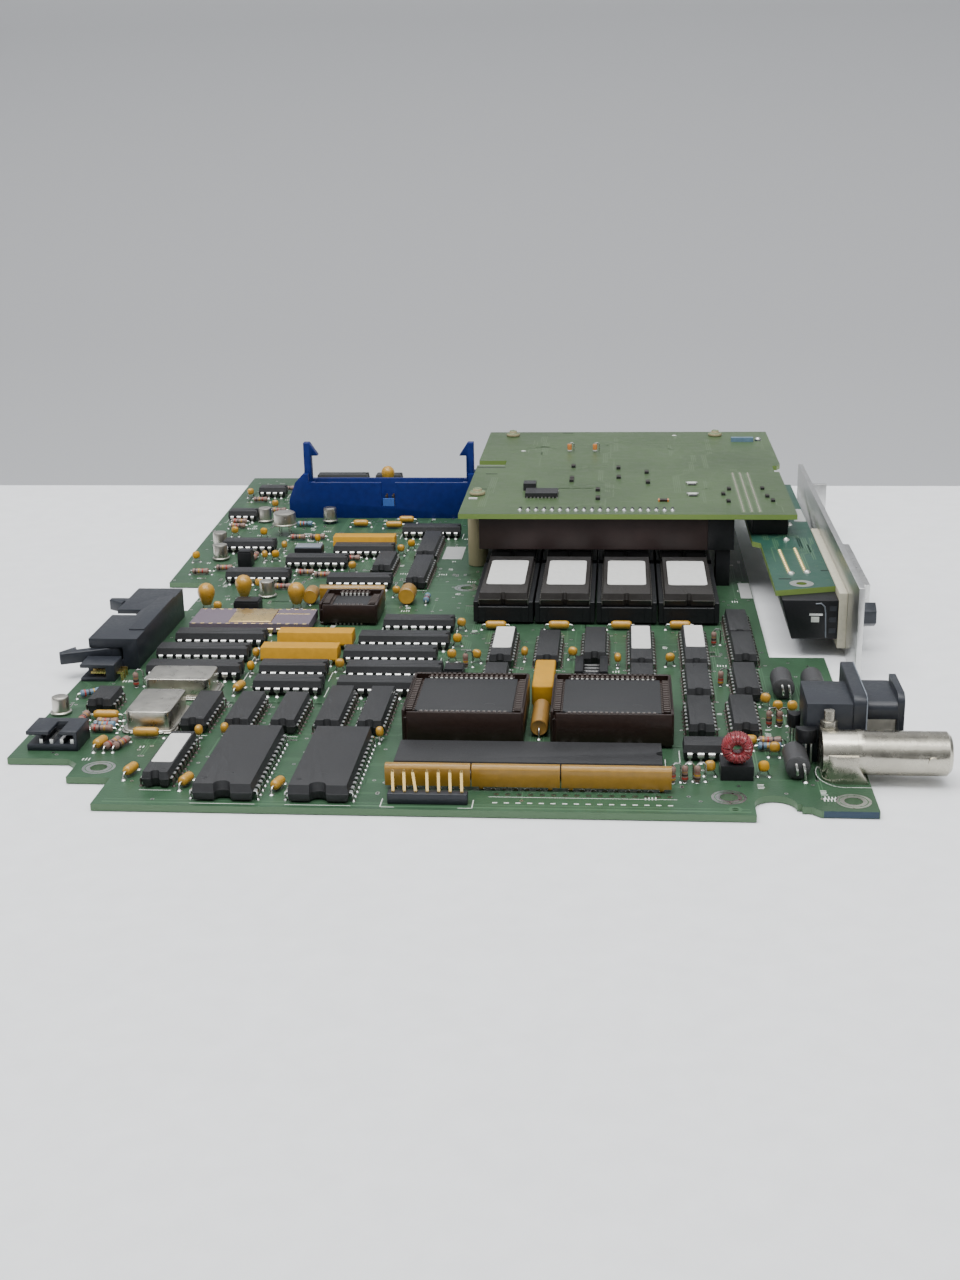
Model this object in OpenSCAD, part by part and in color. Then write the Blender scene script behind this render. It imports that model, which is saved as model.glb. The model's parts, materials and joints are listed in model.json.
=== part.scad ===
// Controller board assembly: a large main board with through-hole parts, a mezzanine board on
// nylon posts, an interface board that carries a panel connector, and a steel panel bracket.
// Origin: centre of the front left mounting hole, on the top face of the main board.
// +X runs right, +Y runs towards the back, +Z runs up from the component side.

/* [Main board] */
// Thickness of each printed board
board_t = 1.6; // [1.2:0.1:2.4]
// Front edge, in front of the origin
board_front = 21; // [20.6:0.1:24]
// Back edge, behind the origin
board_back = 316; // [310:1:330]
// Left edge beside the side connectors
board_left = 24; // [24:0.5:28]
// Left edge at the back left corner
board_left_back = 31; // [28:0.5:34]
// Right edge of the front right tab
tab_right = 178; // [176.5:0.5:179]
// Back edge of the front right tab
tab_back = 86; // [80:0.5:89]
// Right edge behind the tab
rear_right = 163; // [162.5:0.1:164]
// Diameter of the mounting holes
hole_d = 4; // [3:0.1:4.6]
// Diameter of the small tooling hole
tooling_hole_d = 1.6; // [1:0.1:2.4]
// Radius of the half-round notch in the front edge
notch_r = 4.6; // [3.5:0.1:4.8]

/* [Mezzanine and interface boards] */
// Height of the posts under the mezzanine board
post_h = 22.4; // [21:0.1:25]
// Diameter of the post's body
post_w = 6.8; // [5:0.1:7.2]
// Left edge of the mezzanine board
mezz_left = 70.6; // [70.4:0.1:71.4]
// Right edge of the mezzanine board
mezz_right = 176.6; // [172:0.1:180]
// Front edge of the mezzanine board
mezz_front = 154; // [152:0.5:156]
// Back edge of the mezzanine board
mezz_back = 291; // [287:0.5:300]
// Length of the slot in its left edge
mezz_slot_l = 10; // [6:0.5:14]
// Depth of the notch in its right edge
mezz_notch = 1.6; // [1:0.1:3]
// Width of the interface board beside the panel connector
interface_w = 17; // [16:0.5:17.5]
// Back edge of the interface board
interface_back = 230; // [215:1:240]

/* [Panel bracket] */
// Thickness of the steel
bracket_t = 1.6; // [1:0.1:2]
// Height of the bracket above the main board
bracket_h = 24; // [22:0.5:28]
// Back edge of the bracket
bracket_back = 230; // [205:1:240]
// Reach of the tab at its back end
bracket_tab = 8.5; // [5:0.5:10]

/* [Panel connector] */
// Length of the flange
gpib_flange_l = 73; // [71:0.5:76]
// Height of the flange
gpib_flange_h = 16; // [15:0.5:17]
// Length of the shell
gpib_shell_l = 46; // [42:0.5:48]
// Height of the shell
gpib_shell_h = 13; // [11.5:0.5:13.5]
// Reach of the shell outside the bracket
gpib_shell_out = 6.4; // [5:0.2:10]
// Spacing of the two jackscrews
jackscrew_pitch = 60; // [58:0.5:62]
// Diameter of the threaded hole in each jackscrew
jackscrew_hole_d = 3.5; // [2.5:0.1:4]
// Diameter of each jackscrew
jackscrew_d = 7; // [6:0.1:7.5]

/* [Coaxial connector] */
// Diameter of the barrel
bnc_d = 10.2; // [9.6:0.1:10.4]
// Length of the barrel
bnc_l = 18.6; // [16:0.2:24]
// Bore of the barrel
bnc_bore_d = 8.1; // [7.6:0.1:8.4]
// Width of the cast foot
bnc_foot_w = 12.4; // [12:0.1:12.8]
// Length of the cast foot
bnc_foot_l = 10.2; // [10:0.1:11]

/* [Panel jack] */
// Length of the housing inside the panel
jack_l = 10.4; // [9:0.2:11]
// Width of the housing
jack_w = 16; // [15:0.5:17]
// Height of the housing
jack_h = 14.3; // [13:0.1:15]
// Length of the neck beyond the plate
jack_neck_l = 7.2; // [6:0.2:9]
// Height of the neck and its hood
jack_neck_h = 14; // [13.8:0.1:15]
// Height of the outer rim
jack_rim_h = 16; // [15:0.5:17]
// Bore for the plug
jack_bore_d = 6.4; // [5:0.1:6.6]

/* [Box headers] */
// Height of the blue header
blue_h = 13.5; // [12:0.5:15]
// Width of the blue header
blue_w = 9.4; // [9:0.1:10.5]
// Height of a blue latch above its pin
blue_latch_h = 22.7; // [18:0.1:26]
// Depth of the black header from mouth to back
black_h = 13.6; // [13:0.1:14]
// Height of the black header off the board
black_w = 8.8; // [8.6:0.1:10]
// Reach of a black latch from its pin
black_latch_h = 15.6; // [14:0.2:17]
// Thickness of a latch
latch_t = 3.2; // [2.4:0.1:3.4]
// Diameter of a latch's hinge pin
latch_pin_d = 2; // [1.6:0.1:2.2]

/* [Chips] */
// Height of the top of a soldered chip
dip_top = 4.1; // [3.6:0.1:4.6]
// Body width of a narrow chip
dip_narrow = 6.4; // [6:0.1:6.8]
// Body width of a wide chip
dip_wide = 13.7; // [13.2:0.1:14.2]
// Side of a large square socket
plcc_socket_w = 29.4; // [28.8:0.1:29.8]
// Height of a large square socket
plcc_socket_h = 8.7; // [7:0.1:9.5]
// Side of the chip in a large square socket
plcc_chip_w = 24.2; // [23.6:0.1:24.6]
// Side of the small square socket
small_socket_w = 17.6; // [17:0.1:18]
// Height of the small square socket
small_socket_h = 6.4; // [5:0.1:8]
// Height of a memory socket
rom_socket_h = 7; // [6:0.1:8]
// Body width of a socketed memory chip
rom_chip_w = 14.6; // [14:0.1:15]
// Pitch of the memory sockets
rom_pitch = 18.2; // [18.2:0.1:18.6]

/* [Small parts] */
// Height of the resistor network bars
sip_h = 6; // [4.5:0.1:7]
// Thickness of the resistor network bars
sip_t = 2.5; // [2:0.1:2.8]
// Height of an oscillator can
can_h = 5.5; // [4.5:0.1:6.5]
// Diameter of a ferrite bead
ferrite_d = 5.6; // [4.8:0.1:6]
// Length of a ferrite bead
ferrite_l = 10; // [8:0.5:11]
// Outer diameter of the wound ring
ring_d = 7.2; // [6.6:0.1:8.4]
// Height of the ring's plinth
ring_base_h = 3.5; // [2.5:0.1:4.5]
// Diameter of a tantalum bead
bead_d = 5.4; // [4.6:0.1:6]

/* [Hidden] */
$fn = 32;

// Standard lead pitch, and the row spacings of narrow and wide chips
pitch = 2.54;
row_narrow = 7.62;
row_wide = 15.24;
pin_w = 0.64;
lead_t = 0.25;
lead_w = 1.2;
eps = 0.01;

// Mounting holes in the main board
hole_main = [0, 0];
hole_right = [146, -11.5];
hole_tab = [173, -12.5];
hole_middle = [73, 153];
tooling_hole = [147, -18];
// Left front tab, side notch behind the black header, and front right step
tab_left_y = 5;
tab_inner_x = -6;
tab_inner_y = -6;
front_left_x = 4.5;
side_notch_x = -11;
side_notch_front = 126;
side_notch_back = 157;
notch_x = 156;
notch_y = -14.6;
step_y = -16;
step_end_x = 163.5;
tab_front = -18;
tab_start_x = 165.5;
corner_r = 3;

// Chip places: [x, y, pins, turn]. A chip lies along X with its notch to the left at turn 0.
front_chips = [[17, 1, 20, 90], [17, 32.5, 16, 90], [28, 32.5, 16, 90], [39.5, 32.5, 16, 90],
  [50.5, 35, 20, 90], [61, 35, 20, 90], [-10.5, 40.5, 8, 90], [89.3, 86.8, 20, 90],
  [102.1, 85.3, 18, 90], [115, 88.4, 18, 90], [127.7, 87, 24, 90], [142.4, 87.2, 24, 90],
  [89.1, 62.6, 8, 90], [127.7, 63.2, 8, 90], [142.1, 58.4, 16, 90], [141.6, 33, 16, 90],
  [142, 12, 8, 180], [155.7, 108, 16, 90], [155.8, 86.5, 16, 90], [154.6, 59.5, 16, 90],
  [152.2, 34, 16, 90]];
left_chips = [[7.6, 93.5, 20, 180], [5.8, 79.7, 20, 180], [7, 65, 20, 180], [34, 66, 14, 180],
  [35, 53.5, 14, 180], [63.2, 108, 16, 180], [60.8, 92.5, 20, 180], [58.6, 79, 20, 180],
  [61.5, 65.8, 20, 180], [58.5, 53.3, 16, 180]];
rear_chips = [[4.4, 159, 16, 180], [-7, 197.8, 14, 180], [-19, 242.5, 8, 180],
  [-16, 282.5, 8, 180], [34.3, 192, 16, 180], [20.6, 177.2, 16, 180], [38.6, 153.4, 16, 180],
  [43.9, 174, 14, 90], [56.8, 164.5, 22, 90], [56.3, 197, 22, 90], [54.6, 219, 16, 180],
  [8.4, 306, 16, 180], [27.4, 305.5, 8, 180]];
memory_places = [[34, -0.5], [55.5, -0.5]];
processor_place = [101, 2.8];
plcc_places = [[84.3, 31], [120, 31.2]];
small_plcc_place = [41.3, 120.5];
ceramic_place = [13.5, 110];
rom_first_x = 87.4;
rom_rows_y = [136, 183];
// Chip details
dip_lift = 0.5;
dip_over = 0.6;
dip_draft = 0.35;
dip_notch_r = 1;
dip_notch_depth = 0.6;
memory_l = 36.8;
memory_notch_r = 1.9;
processor_l = 61.6;
plcc_lift = 3.2;
plcc_chip_t = 4.4;
plcc_wall_gap = 0.2;
plcc_rim = 1.1;
small_chip_w = 11.6;
small_chip_top = 5.2;
rom_l = 42;
rom_socket_l = 43.5;
rom_socket_w = 17.6;
rom_seat = 5.8;
rom_chip_t = 3.7;
label_t = 0.12;
label_w = 11.5;
label_l = 27;
ceramic_l = 35.6;
ceramic_w = 15;
ceramic_top = 3.4;
lid_w = 12.6;
lid_t = 0.3;

// Resistor networks: [left end, right end] along X, then the bar at the back
sip_front_y = -9;
sip_spans = [[69.2, 88.6], [88.8, 108.7], [108.9, 133.5]];
sip_rear = [39.2, 134.6];
sip_rear_l = 20.4;
sip_lift = 0.5;
network_places = [[33.5, 78.2], [35.5, 91.8], [33.1, 201]];
network_l = 21.5;
network_w = 7;
network_top = 5;
network_lift = 1.2;

// Oscillator cans: [x, y, turn]
can_places = [[6.6, 52.6, 0], [5.6, 31.3, 90]];
can_l = 17.2;
can_w = 11.2;
can_flange = 1.4;
can_flange_t = 0.8;
can_round = 1.6;

// Metal can transistors: [x, y, flange radius, can radius, height, lift]
to_places = [[-20.8, 35.6, 2.7, 2.3, 4.4, 0.3], [10.7, 142, 2.9, 2.4, 5, 0.3],
  [-10.4, 240, 2.9, 2.4, 4.5, 1], [1, 220.5, 4.5, 4, 4.5, 4], [-18.8, 203, 2.9, 2.4, 4.5, 1],
  [-14.6, 186, 2.9, 2.4, 4.5, 1], [14.4, 238.4, 2.9, 2.4, 5, 1]];
to_leg_r = 0.25;
to_leg_ring = 0.55;

// Tantalum beads: [x, y, top]
bead_places = [[-5, 127, 8.6], [4.6, 136.4, 8.6], [22.8, 128.4, 8.6], [28.3, 296, 9.4]];
bead_leg_r = 0.3;
bead_leg_x = 1.27;
// Yellow can capacitors lying with one end to the front: [x, front y, radius, length]
lying_cans = [[26.1, 132.4, 2.3, 6.2], [56.2, 132.6, 2.6, 7]];
lying_lift = 0.4;
box_cap = [99.5, 44.9];
box_cap_size = [5.4, 21.3, 5.5];

// Axial capacitors: [x, y, turn, length]
axial_places = [[85.6, 109.1, 0, 6.1], [104.1, 109.6, 0, 6.1], [122.3, 110, 0, 6.1],
  [139.3, 110.5, 0, 6.1], [102.4, 30.5, 90, 15], [6, 19.4, 0, 6.5], [-7.5, 31, 0, 6.5],
  [9, -4, 75, 4.5], [23.5, -9.5, 75, 4.5], [45, -11, 75, 4.5], [-3.3, 12.5, 75, 4.5],
  [151.7, 19.6, 0, 5.5], [21.6, 53.5, 75, 4.5], [26.8, 232.5, 0, 5.5], [43, 238.4, 0, 5.5],
  [39.4, 230.4, 0, 6]];
axial_r = 1.2;
axial_long_r = 2.2;
axial_lift = 0.4;
// Small yellow bead capacitors: [x, y]
cap_places = [[19.5, 18.5], [25.5, 20.2], [21.8, 67], [20.8, 78.5], [45.8, 70], [64, 19],
  [75.6, 108], [75.8, 93], [75.6, 79], [82.5, 79], [95.6, 81.6], [108.9, 82], [121.3, 76.9],
  [135.5, 77.5], [142.4, 0.4], [154.5, 0.6], [158, 12.5], [158.6, 46], [161.2, 40.6],
  [164.8, 40.6], [6.5, 149], [-22.3, 182.4], [-5.8, 215.4], [-10.6, 259.4], [-16.8, 217.4],
  [46.8, 192.6], [49.6, 199.4], [52, 141.4], [33.4, 170.4], [15.4, 206.4], [5.4, 196.8],
  [1.2, 183.8], [4.8, 184.2], [-24.6, 279.6], [-0.8, 123.4]];
cap_r = 1.3;
cap_lift = 1.3;
cap_leg_r = 0.3;
// Resistors lying down: [x, y, turn]
resistor_places = [[-6, 27.2, 0], [-6, 24.8, 0], [-6, 22.4, 0], [-0.5, 12.8, 75],
  [1.7, 13, 75], [-13, 30, 90], [-17, 48.4, 30], [157.6, 20.3, 0], [157.2, 16.5, 0],
  [-19.4, 236.2, 0], [-18.4, 229.4, 0], [-17, 167, 0], [-10, 171.6, 0], [6, 232.6, 0], [7, 213, 0],
  [14, 213.6, 0], [-5.4, 186.6, 90], [-2.8, 186.6, 90], [14.2, 149.6, 0], [18.4, 166.6, 0],
  [31, 184.8, 0], [24.6, 163.8, 0], [62, 137.6, 90], [-8, 254, 0], [-19, 272, 0], [-12, 292, 0]];
resistor_r = 0.95;
resistor_l = 5.6;
resistor_lift = 0.3;
// Resistors standing up: [x, y]
resistor_upright = [[133.8, -4], [136.6, -3.4], [139.4, -3.4], [158.4, 32.5], [161, 32.5],
  [148.3, 96], [148.3, 62], [79.8, 74.6], [-7, 56]];
resistor_up_r = 0.75;
resistor_up_h = 3.8;

// Ferrite beads: [x, front y]
ferrite_places = [[163.7, 51.5], [171.6, 51.5], [162, -1.5]];
ferrite_hole_r = 0.5;
ring_x = 148.4;
ring_y = 1.6;
ring_base_w = 7.4;
ring_forward = 1;
ring_hole_r = 1.4;
ring_t = 4.6;
// Small black modules: [x, y, width, depth, height]
module_places = [[-4.1, 178.2, 4.6, 5, 5.6], [16, 187, 9.2, 6, 5], [8.1, 125.8, 7.8, 5.6, 4],
  [77.4, 67.5, 5.4, 6, 3], [66, 286, 8, 12, 5]];
// Open sockets: [x, y, width, length, height], with a channel along the middle
open_sockets = [[114.3, 69.2, 8.8, 13, 3.5]];
open_channel = [4.4, 2.3];
// Transistors on three legs: [x from the jack, back y, width]
transistor_places = [[-0.1, 9.8, 5], [-1.9, 19.8, 3]];
transistor_size = [3.4, 3.2];
transistor_z = 5.8;
transistor_leg = [0.6, 0.5];

// Blue header along X and its pin field
blue_x = 35.3;
blue_y = 251;
blue_cols = 20;
blue_cavity_l = 56;
blue_end_l = 9.6;
// Black header along Y, mouth to the left
black_y = 95.4;
black_x = -10.4;
black_cols = 15;
black_cavity_l = 40;
black_end_l = 4.9;
black_floor = 4.2;
black_groove = [0.7, 2.8];
black_rib = [78.5, 111, 4.4, 0.4];
black_open = 24;
header_floor = 3;
header_wall = 1.3;
pin_reach = 5;
hinge_in = 2.6;
latch_gap = 0.2;
latch_pin_gap = 0.05;
latch_boss_r = 2.1;
latch_bar = 2.8;
latch_hook = 2.6;
latch_hook_h = 5.5;
key_w = 5.2;
blue_ear = 3.2;
blue_chamfer = [2.5, 7];

// Side header, power header and test header
side_x = -23.5;
side_gap = 15.4;
side_y = black_y - black_cavity_l / 2 - side_gap;
side_size = [9.5, 7.5, 4.8];
side_pins = 3;
side_floor = 1;
side_back = 2.5;
side_reach = 4.5;
power_x = -20.7;
power_y = 9.8;
power_size = [12.6, 9.7, 5];
power_pins = 4;
power_pitch = 2.54;
power_base = 1.6;
test_x = 79.7;
test_y = -17;
test_pins = 7;
test_body = 2.5;
test_pin_top = 7.8;

// Mezzanine posts: [x, y], and the connectors between the boards
post_places = [[74.5, 181.5], [80, 283], [158, 283]];
post_pin_d = 3;
post_nub_h = 2.2;
post_clip = [5.2, 1.2];
// Connector under the front of the mezzanine board: a long bar above the memory chips, on one leg
bar_start_x = 77;
bar_end_x = 157.4;
bar_y = 156;
bar_w = 9.6;
bar_z = 12;
leg_gap = 1.2;
leg_x = rom_first_x + 3 * rom_pitch + rom_socket_w / 2 + leg_gap;
leg_inset = 1;
interface_link_y = 158;
interface_link_size = [11, 6];
mezz_slot_y = [228, 236];
mezz_notch_y = [217, 227];
mezz_flare = [230, 1.4];

// Interface board and panel connector
bracket_x = 186;
bracket_front = 72;
bracket_bottom = -board_t;
bracket_tab_z = [3, 17];
flange_t = 2.4;
gpib_z = 9;
gpib_y = 128;
interface_z = 15;
interface_front = 95;
interface_slant = 5;
interface_wide_y = 149.4;
interface_jog = 2.4;
interface_link_inset = 0.6;
gpib_housing_h = 11.4;
gpib_housing_in = 15.6;
housing_draft = 3;
interface_hole = [7.8, 7.3];
panel_gap = 0.2;
shell_wall = 0.8;
shell_draft = 1.8;
contact_block = [35, 6];
jackscrew_head = 7;

// Coaxial connector and jack
bnc_y = 3;
bnc_z = 5.3;
bnc_in = 10.6;
bnc_x = tab_right - bnc_in;
bnc_foot_h = 6.5;
bnc_toe = [2.4, 4];
bnc_round = 4;
bnc_collar = 1.6;
bnc_chamfer = 0.9;
bnc_lug_r = 1.1;
bnc_lug_h = 0.6;
bnc_lug_back = 4.6;
bnc_pin_r = 0.7;
bnc_core_r = 2.4;
bnc_block = [4, 4.8, 10];
bnc_stud_r = 1.2;
bnc_nut_r = 2;
bnc_nut_t = 1.6;
bnc_stud_top = 14;
jack_in = 13.2;
jack_x = tab_right - jack_in;
jack_y = 18;
jack_plate_t = 3.2;
jack_plate_y = [10, 36];
jack_plate_h = 16;
jack_neck_y = [12, 28];
jack_rim_y = [12, 27];
jack_rim_t = 1.6;
jack_round = 2.4;
jack_hood = 4;
jack_tongue = [14.5, 9];
jack_shield_in = 1.4;
jack_bore_y = 19.6;
jack_bore_z = 6.4;
jack_bore_back = 1;

pcb_green = "#3f7a55";
lime_green = "#6f9a5c";
teal_green = "#3f8a6c";
charcoal = "#3b3c40";
black = "#26262a";
silver = "#c9c9c6";
amber = "#d9a441";

// ---- boards ----

// Outline of the main board, with the front notch and the side notch
module main_outline() {
  difference() {
    polygon([[front_left_x, -board_front], [notch_x + notch_r, -board_front],
      [notch_x + notch_r, step_y], [step_end_x, step_y], [tab_start_x, tab_front],
      [tab_right, tab_front], [tab_right, tab_back], [rear_right, tab_back],
      [rear_right, board_back], [-board_left_back, board_back], [-board_left - 1, side_notch_back],
      [side_notch_x, side_notch_back], [side_notch_x, side_notch_front],
      [-board_left, side_notch_front], [-board_left, tab_left_y],
      [tab_inner_x - corner_r, tab_left_y], [tab_inner_x, tab_left_y - corner_r],
      [tab_inner_x, tab_inner_y], [front_left_x, tab_inner_y]]);
    translate([notch_x, notch_y]) circle(r = notch_r);
    translate([notch_x - notch_r, -board_front - 1])
      square([2 * notch_r + 1, board_front + 1 + notch_y]);
  }
}
module main_board() {
  color(pcb_green) difference() {
    translate([0, 0, -board_t]) linear_extrude(height = board_t) main_outline();
    for (p = [hole_main, hole_right, hole_tab, hole_middle])
      translate([p[0], p[1], -board_t - 1]) cylinder(d = hole_d, h = board_t + 2);
    translate([tooling_hole[0], tooling_hole[1], -board_t - 1])
      cylinder(d = tooling_hole_d, h = board_t + 2);
    for (p = post_places)
      translate([p[0], p[1], -board_t - 1]) cylinder(d = post_pin_d, h = board_t + 2);
  }
}
// A routed slot in the left edge, a notch in the right edge, and a flare behind the notch
module mezzanine_outline() {
  difference() {
    polygon([[mezz_left, mezz_front], [mezz_right, mezz_front], [mezz_right, mezz_notch_y[0]],
      [mezz_right - mezz_notch, mezz_notch_y[0]], [mezz_right - mezz_notch, mezz_notch_y[1]],
      [mezz_right, mezz_notch_y[1]], [mezz_right + mezz_flare[1], mezz_flare[0]],
      [mezz_right + mezz_flare[1], mezz_back], [mezz_left, mezz_back]]);
    translate([mezz_left - 1, mezz_slot_y[0]])
      square([mezz_slot_l + 1, mezz_slot_y[1] - mezz_slot_y[0]]);
  }
}
module mezzanine_board() {
  color(lime_green) difference() {
    translate([0, 0, post_h]) linear_extrude(height = board_t) mezzanine_outline();
    for (p = post_places)
      translate([p[0], p[1], post_h - 1]) cylinder(d = post_pin_d, h = board_t + 2);
  }
}
// The interface board stands on the panel connector and hangs from the mezzanine board
interface_right = bracket_x - bracket_t - flange_t;
interface_left = interface_right - interface_w;
interface_wide_x = interface_left - interface_jog;
interface_link_x = interface_wide_x + interface_link_inset;
module interface_board() {
  color(teal_green) difference() {
    translate([0, 0, interface_z]) linear_extrude(height = board_t)
      polygon([[interface_left, interface_front], [interface_right, interface_front + interface_slant],
        [interface_right, interface_back], [interface_wide_x, interface_back],
        [interface_wide_x, interface_wide_y],
        [interface_left, interface_wide_y - interface_jog]]);
    translate([interface_left + interface_hole[0], interface_front + interface_hole[1], interface_z - 1])
      cylinder(d = hole_d - 1, h = board_t + 2);
  }
}
// Each post has a nub through each board, and a clip on the upper nub
module mezzanine_posts() {
  color("#d8cfae") for (p = post_places) translate([p[0], p[1], 0]) {
    cylinder(d = post_w, h = post_h);
    translate([0, 0, -board_t]) cylinder(d = post_pin_d - 0.1, h = board_t + eps);
    translate([0, 0, post_h - eps]) cylinder(d = post_pin_d - 0.1, h = board_t + post_nub_h);
    translate([0, 0, post_h + board_t]) cylinder(d = post_clip[0], h = post_clip[1]);
  }
}
// Long bar under the mezzanine board, on a leg that stands on the main board
module mezzanine_connector() {
  color(black) {
    translate([bar_start_x, bar_y, bar_z]) cube([bar_end_x - bar_start_x, bar_w, post_h - bar_z]);
    translate([leg_x, bar_y + leg_inset, 0])
      cube([bar_end_x - leg_inset - leg_x, bar_w - 2 * leg_inset, bar_z + eps]);
  }
}
// Connector between the interface board and the mezzanine board
module interface_connector() {
  color(black) translate([interface_link_x, interface_link_y, interface_z + board_t])
    cube([interface_link_size[0], interface_link_size[1], post_h - interface_z - board_t]);
}

// ---- bracket and panel connector ----

bracket_in = bracket_x - bracket_t;
jack_screw_y = [gpib_y - jackscrew_pitch / 2, gpib_y + jackscrew_pitch / 2];
module rear_bracket() {
  color("#b9bbbd") difference() {
    union() {
      translate([bracket_in, 0, 0]) rotate([90, 0, 90]) linear_extrude(height = bracket_t)
        polygon([[bracket_front, bracket_bottom], [bracket_front, bracket_h],
          [bracket_back, bracket_h], [bracket_back, bracket_bottom]]);
      translate([bracket_x - eps, bracket_back - bracket_t, bracket_tab_z[0]])
        cube([bracket_tab, bracket_t, bracket_tab_z[1] - bracket_tab_z[0]]);
    }
    translate([bracket_in - 1, gpib_y, gpib_z]) rotate([90, 0, 90])
      linear_extrude(height = bracket_t + 2)
        shell_outline(gpib_shell_l + 2 * panel_gap, gpib_shell_h + 2 * panel_gap);
    for (y = jack_screw_y)
      translate([bracket_in - 1, y, gpib_z]) rotate([0, 90, 0])
        cylinder(d = jackscrew_hole_d + 1.2, h = bracket_t + 2);
  }
}
// D-shaped outline in the plane of the panel, long side up
module shell_outline(l, h) {
  polygon([[-l / 2, h / 2], [l / 2, h / 2], [l / 2 - shell_draft, -h / 2],
    [-l / 2 + shell_draft, -h / 2]]);
}
module gpib_flange() {
  color("#cfc9b4") difference() {
    translate([bracket_in - flange_t, gpib_y - gpib_flange_l / 2, gpib_z - gpib_flange_h / 2])
      cube([flange_t, gpib_flange_l, gpib_flange_h]);
    translate([bracket_in - flange_t - 1, gpib_y, gpib_z]) rotate([90, 0, 90])
      linear_extrude(height = flange_t + 2)
        shell_outline(gpib_shell_l + 2 * panel_gap, gpib_shell_h + 2 * panel_gap);
    for (y = jack_screw_y)
      translate([bracket_in - flange_t - 1, y, gpib_z]) rotate([0, 90, 0])
        cylinder(d = jackscrew_hole_d + 1.2, h = flange_t + 2);
  }
}
gpib_housing_top = interface_z;
module gpib_housing() {
  color(black) translate([bracket_in - flange_t, gpib_y + gpib_flange_l / 2, 0])
    rotate([90, 0, 0]) linear_extrude(height = gpib_flange_l)
      polygon([[0, gpib_housing_top - gpib_housing_h], [0, gpib_housing_top],
        [-gpib_housing_in, gpib_housing_top],
        [-gpib_housing_in + housing_draft, gpib_housing_top - gpib_housing_h]]);
}
shell_root = bracket_in - flange_t;
module gpib_shell() {
  color(silver) translate([shell_root, gpib_y, gpib_z]) rotate([90, 0, 90])
    linear_extrude(height = flange_t + bracket_t + gpib_shell_out) difference() {
      shell_outline(gpib_shell_l, gpib_shell_h);
      shell_outline(gpib_shell_l - 2 * shell_wall, gpib_shell_h - 2 * shell_wall);
    }
}
module gpib_contact_block() {
  color("#2f4fa0") translate([shell_root, gpib_y - contact_block[0] / 2, gpib_z - contact_block[1] / 2])
    cube([flange_t + bracket_t + gpib_shell_out - 1, contact_block[0], contact_block[1]]);
}
module jackscrews() {
  color(black) for (y = jack_screw_y) translate([bracket_x, y, gpib_z]) rotate([0, 90, 0])
    difference() {
      union() {
        cylinder(d = jackscrew_d, h = jackscrew_head, $fn = 6);
        translate([0, 0, -bracket_t - flange_t])
          cylinder(d = jackscrew_hole_d + 1, h = bracket_t + flange_t + eps);
      }
      translate([0, 0, -bracket_t]) cylinder(d = jackscrew_hole_d, h = bracket_t + jackscrew_head + 1);
    }
}

// ---- coaxial connector and jack ----

bnc_end = bnc_x + bnc_foot_l + bnc_l;
bnc_front = bnc_y - bnc_foot_w / 2;
// The barrel runs back over a cast foot with a sloping toe and one rounded corner
module bnc_foot() {
  difference() {
    translate([bnc_x, bnc_y + bnc_foot_w / 2, 0]) rotate([90, 0, 0])
      linear_extrude(height = bnc_foot_w)
        polygon([[0, 0], [bnc_foot_l, 0], [bnc_foot_l - bnc_toe[0], bnc_toe[1]],
          [bnc_foot_l - bnc_toe[0], bnc_foot_h], [0, bnc_foot_h]]);
    difference() {
      translate([bnc_x - 1, bnc_front - 1, -1]) cube([bnc_round + 1, bnc_round + 1, bnc_foot_h + 2]);
      translate([bnc_x + bnc_round, bnc_front + bnc_round, -2])
        cylinder(r = bnc_round, h = bnc_foot_h + 4);
    }
  }
}
module bnc_body() {
  color("#c2bea6") difference() {
    union() {
      bnc_foot();
      translate([bnc_x, bnc_y, bnc_z]) rotate([0, 90, 0]) {
        cylinder(d = bnc_d, h = bnc_foot_l + bnc_l - bnc_chamfer);
        translate([0, 0, bnc_foot_l + bnc_l - bnc_chamfer - eps])
          cylinder(d1 = bnc_d, d2 = bnc_d - 2 * bnc_chamfer, h = bnc_chamfer + eps);
      }
      translate([bnc_x + bnc_foot_l - bnc_toe[0] - eps, bnc_y, bnc_z]) rotate([0, 90, 0])
        cylinder(d = min(bnc_d + 0.5, 2 * bnc_z), h = bnc_collar);
      for (s = [-1, 1]) translate([bnc_end - bnc_lug_back, bnc_y, bnc_z]) rotate([s * 90, 0, 0])
        cylinder(r = bnc_lug_r, h = bnc_d / 2 + bnc_lug_h);
      translate([bnc_x, bnc_y + bnc_foot_w / 2 - bnc_block[1], 0]) cube(bnc_block);
      translate([bnc_x + bnc_block[0] / 2, bnc_y + bnc_foot_w / 2 - bnc_block[1] / 2, bnc_block[2] - eps]) {
        cylinder(r = bnc_nut_r, h = bnc_nut_t, $fn = 6);
        cylinder(r = bnc_stud_r, h = bnc_stud_top - bnc_block[2]);
      }
    }
    translate([bnc_end - bnc_l + 2, bnc_y, bnc_z]) rotate([0, 90, 0]) cylinder(d = bnc_bore_d, h = bnc_l);
  }
}
module bnc_insulator() {
  color("white") difference() {
    translate([bnc_end - bnc_l + 2, bnc_y, bnc_z]) rotate([0, 90, 0]) {
      cylinder(d = bnc_bore_d, h = 4);
      cylinder(r = bnc_core_r, h = bnc_l - 6);
    }
    translate([bnc_end - bnc_l + 1, bnc_y, bnc_z]) rotate([0, 90, 0]) cylinder(r = bnc_pin_r, h = bnc_l);
  }
}
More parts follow.
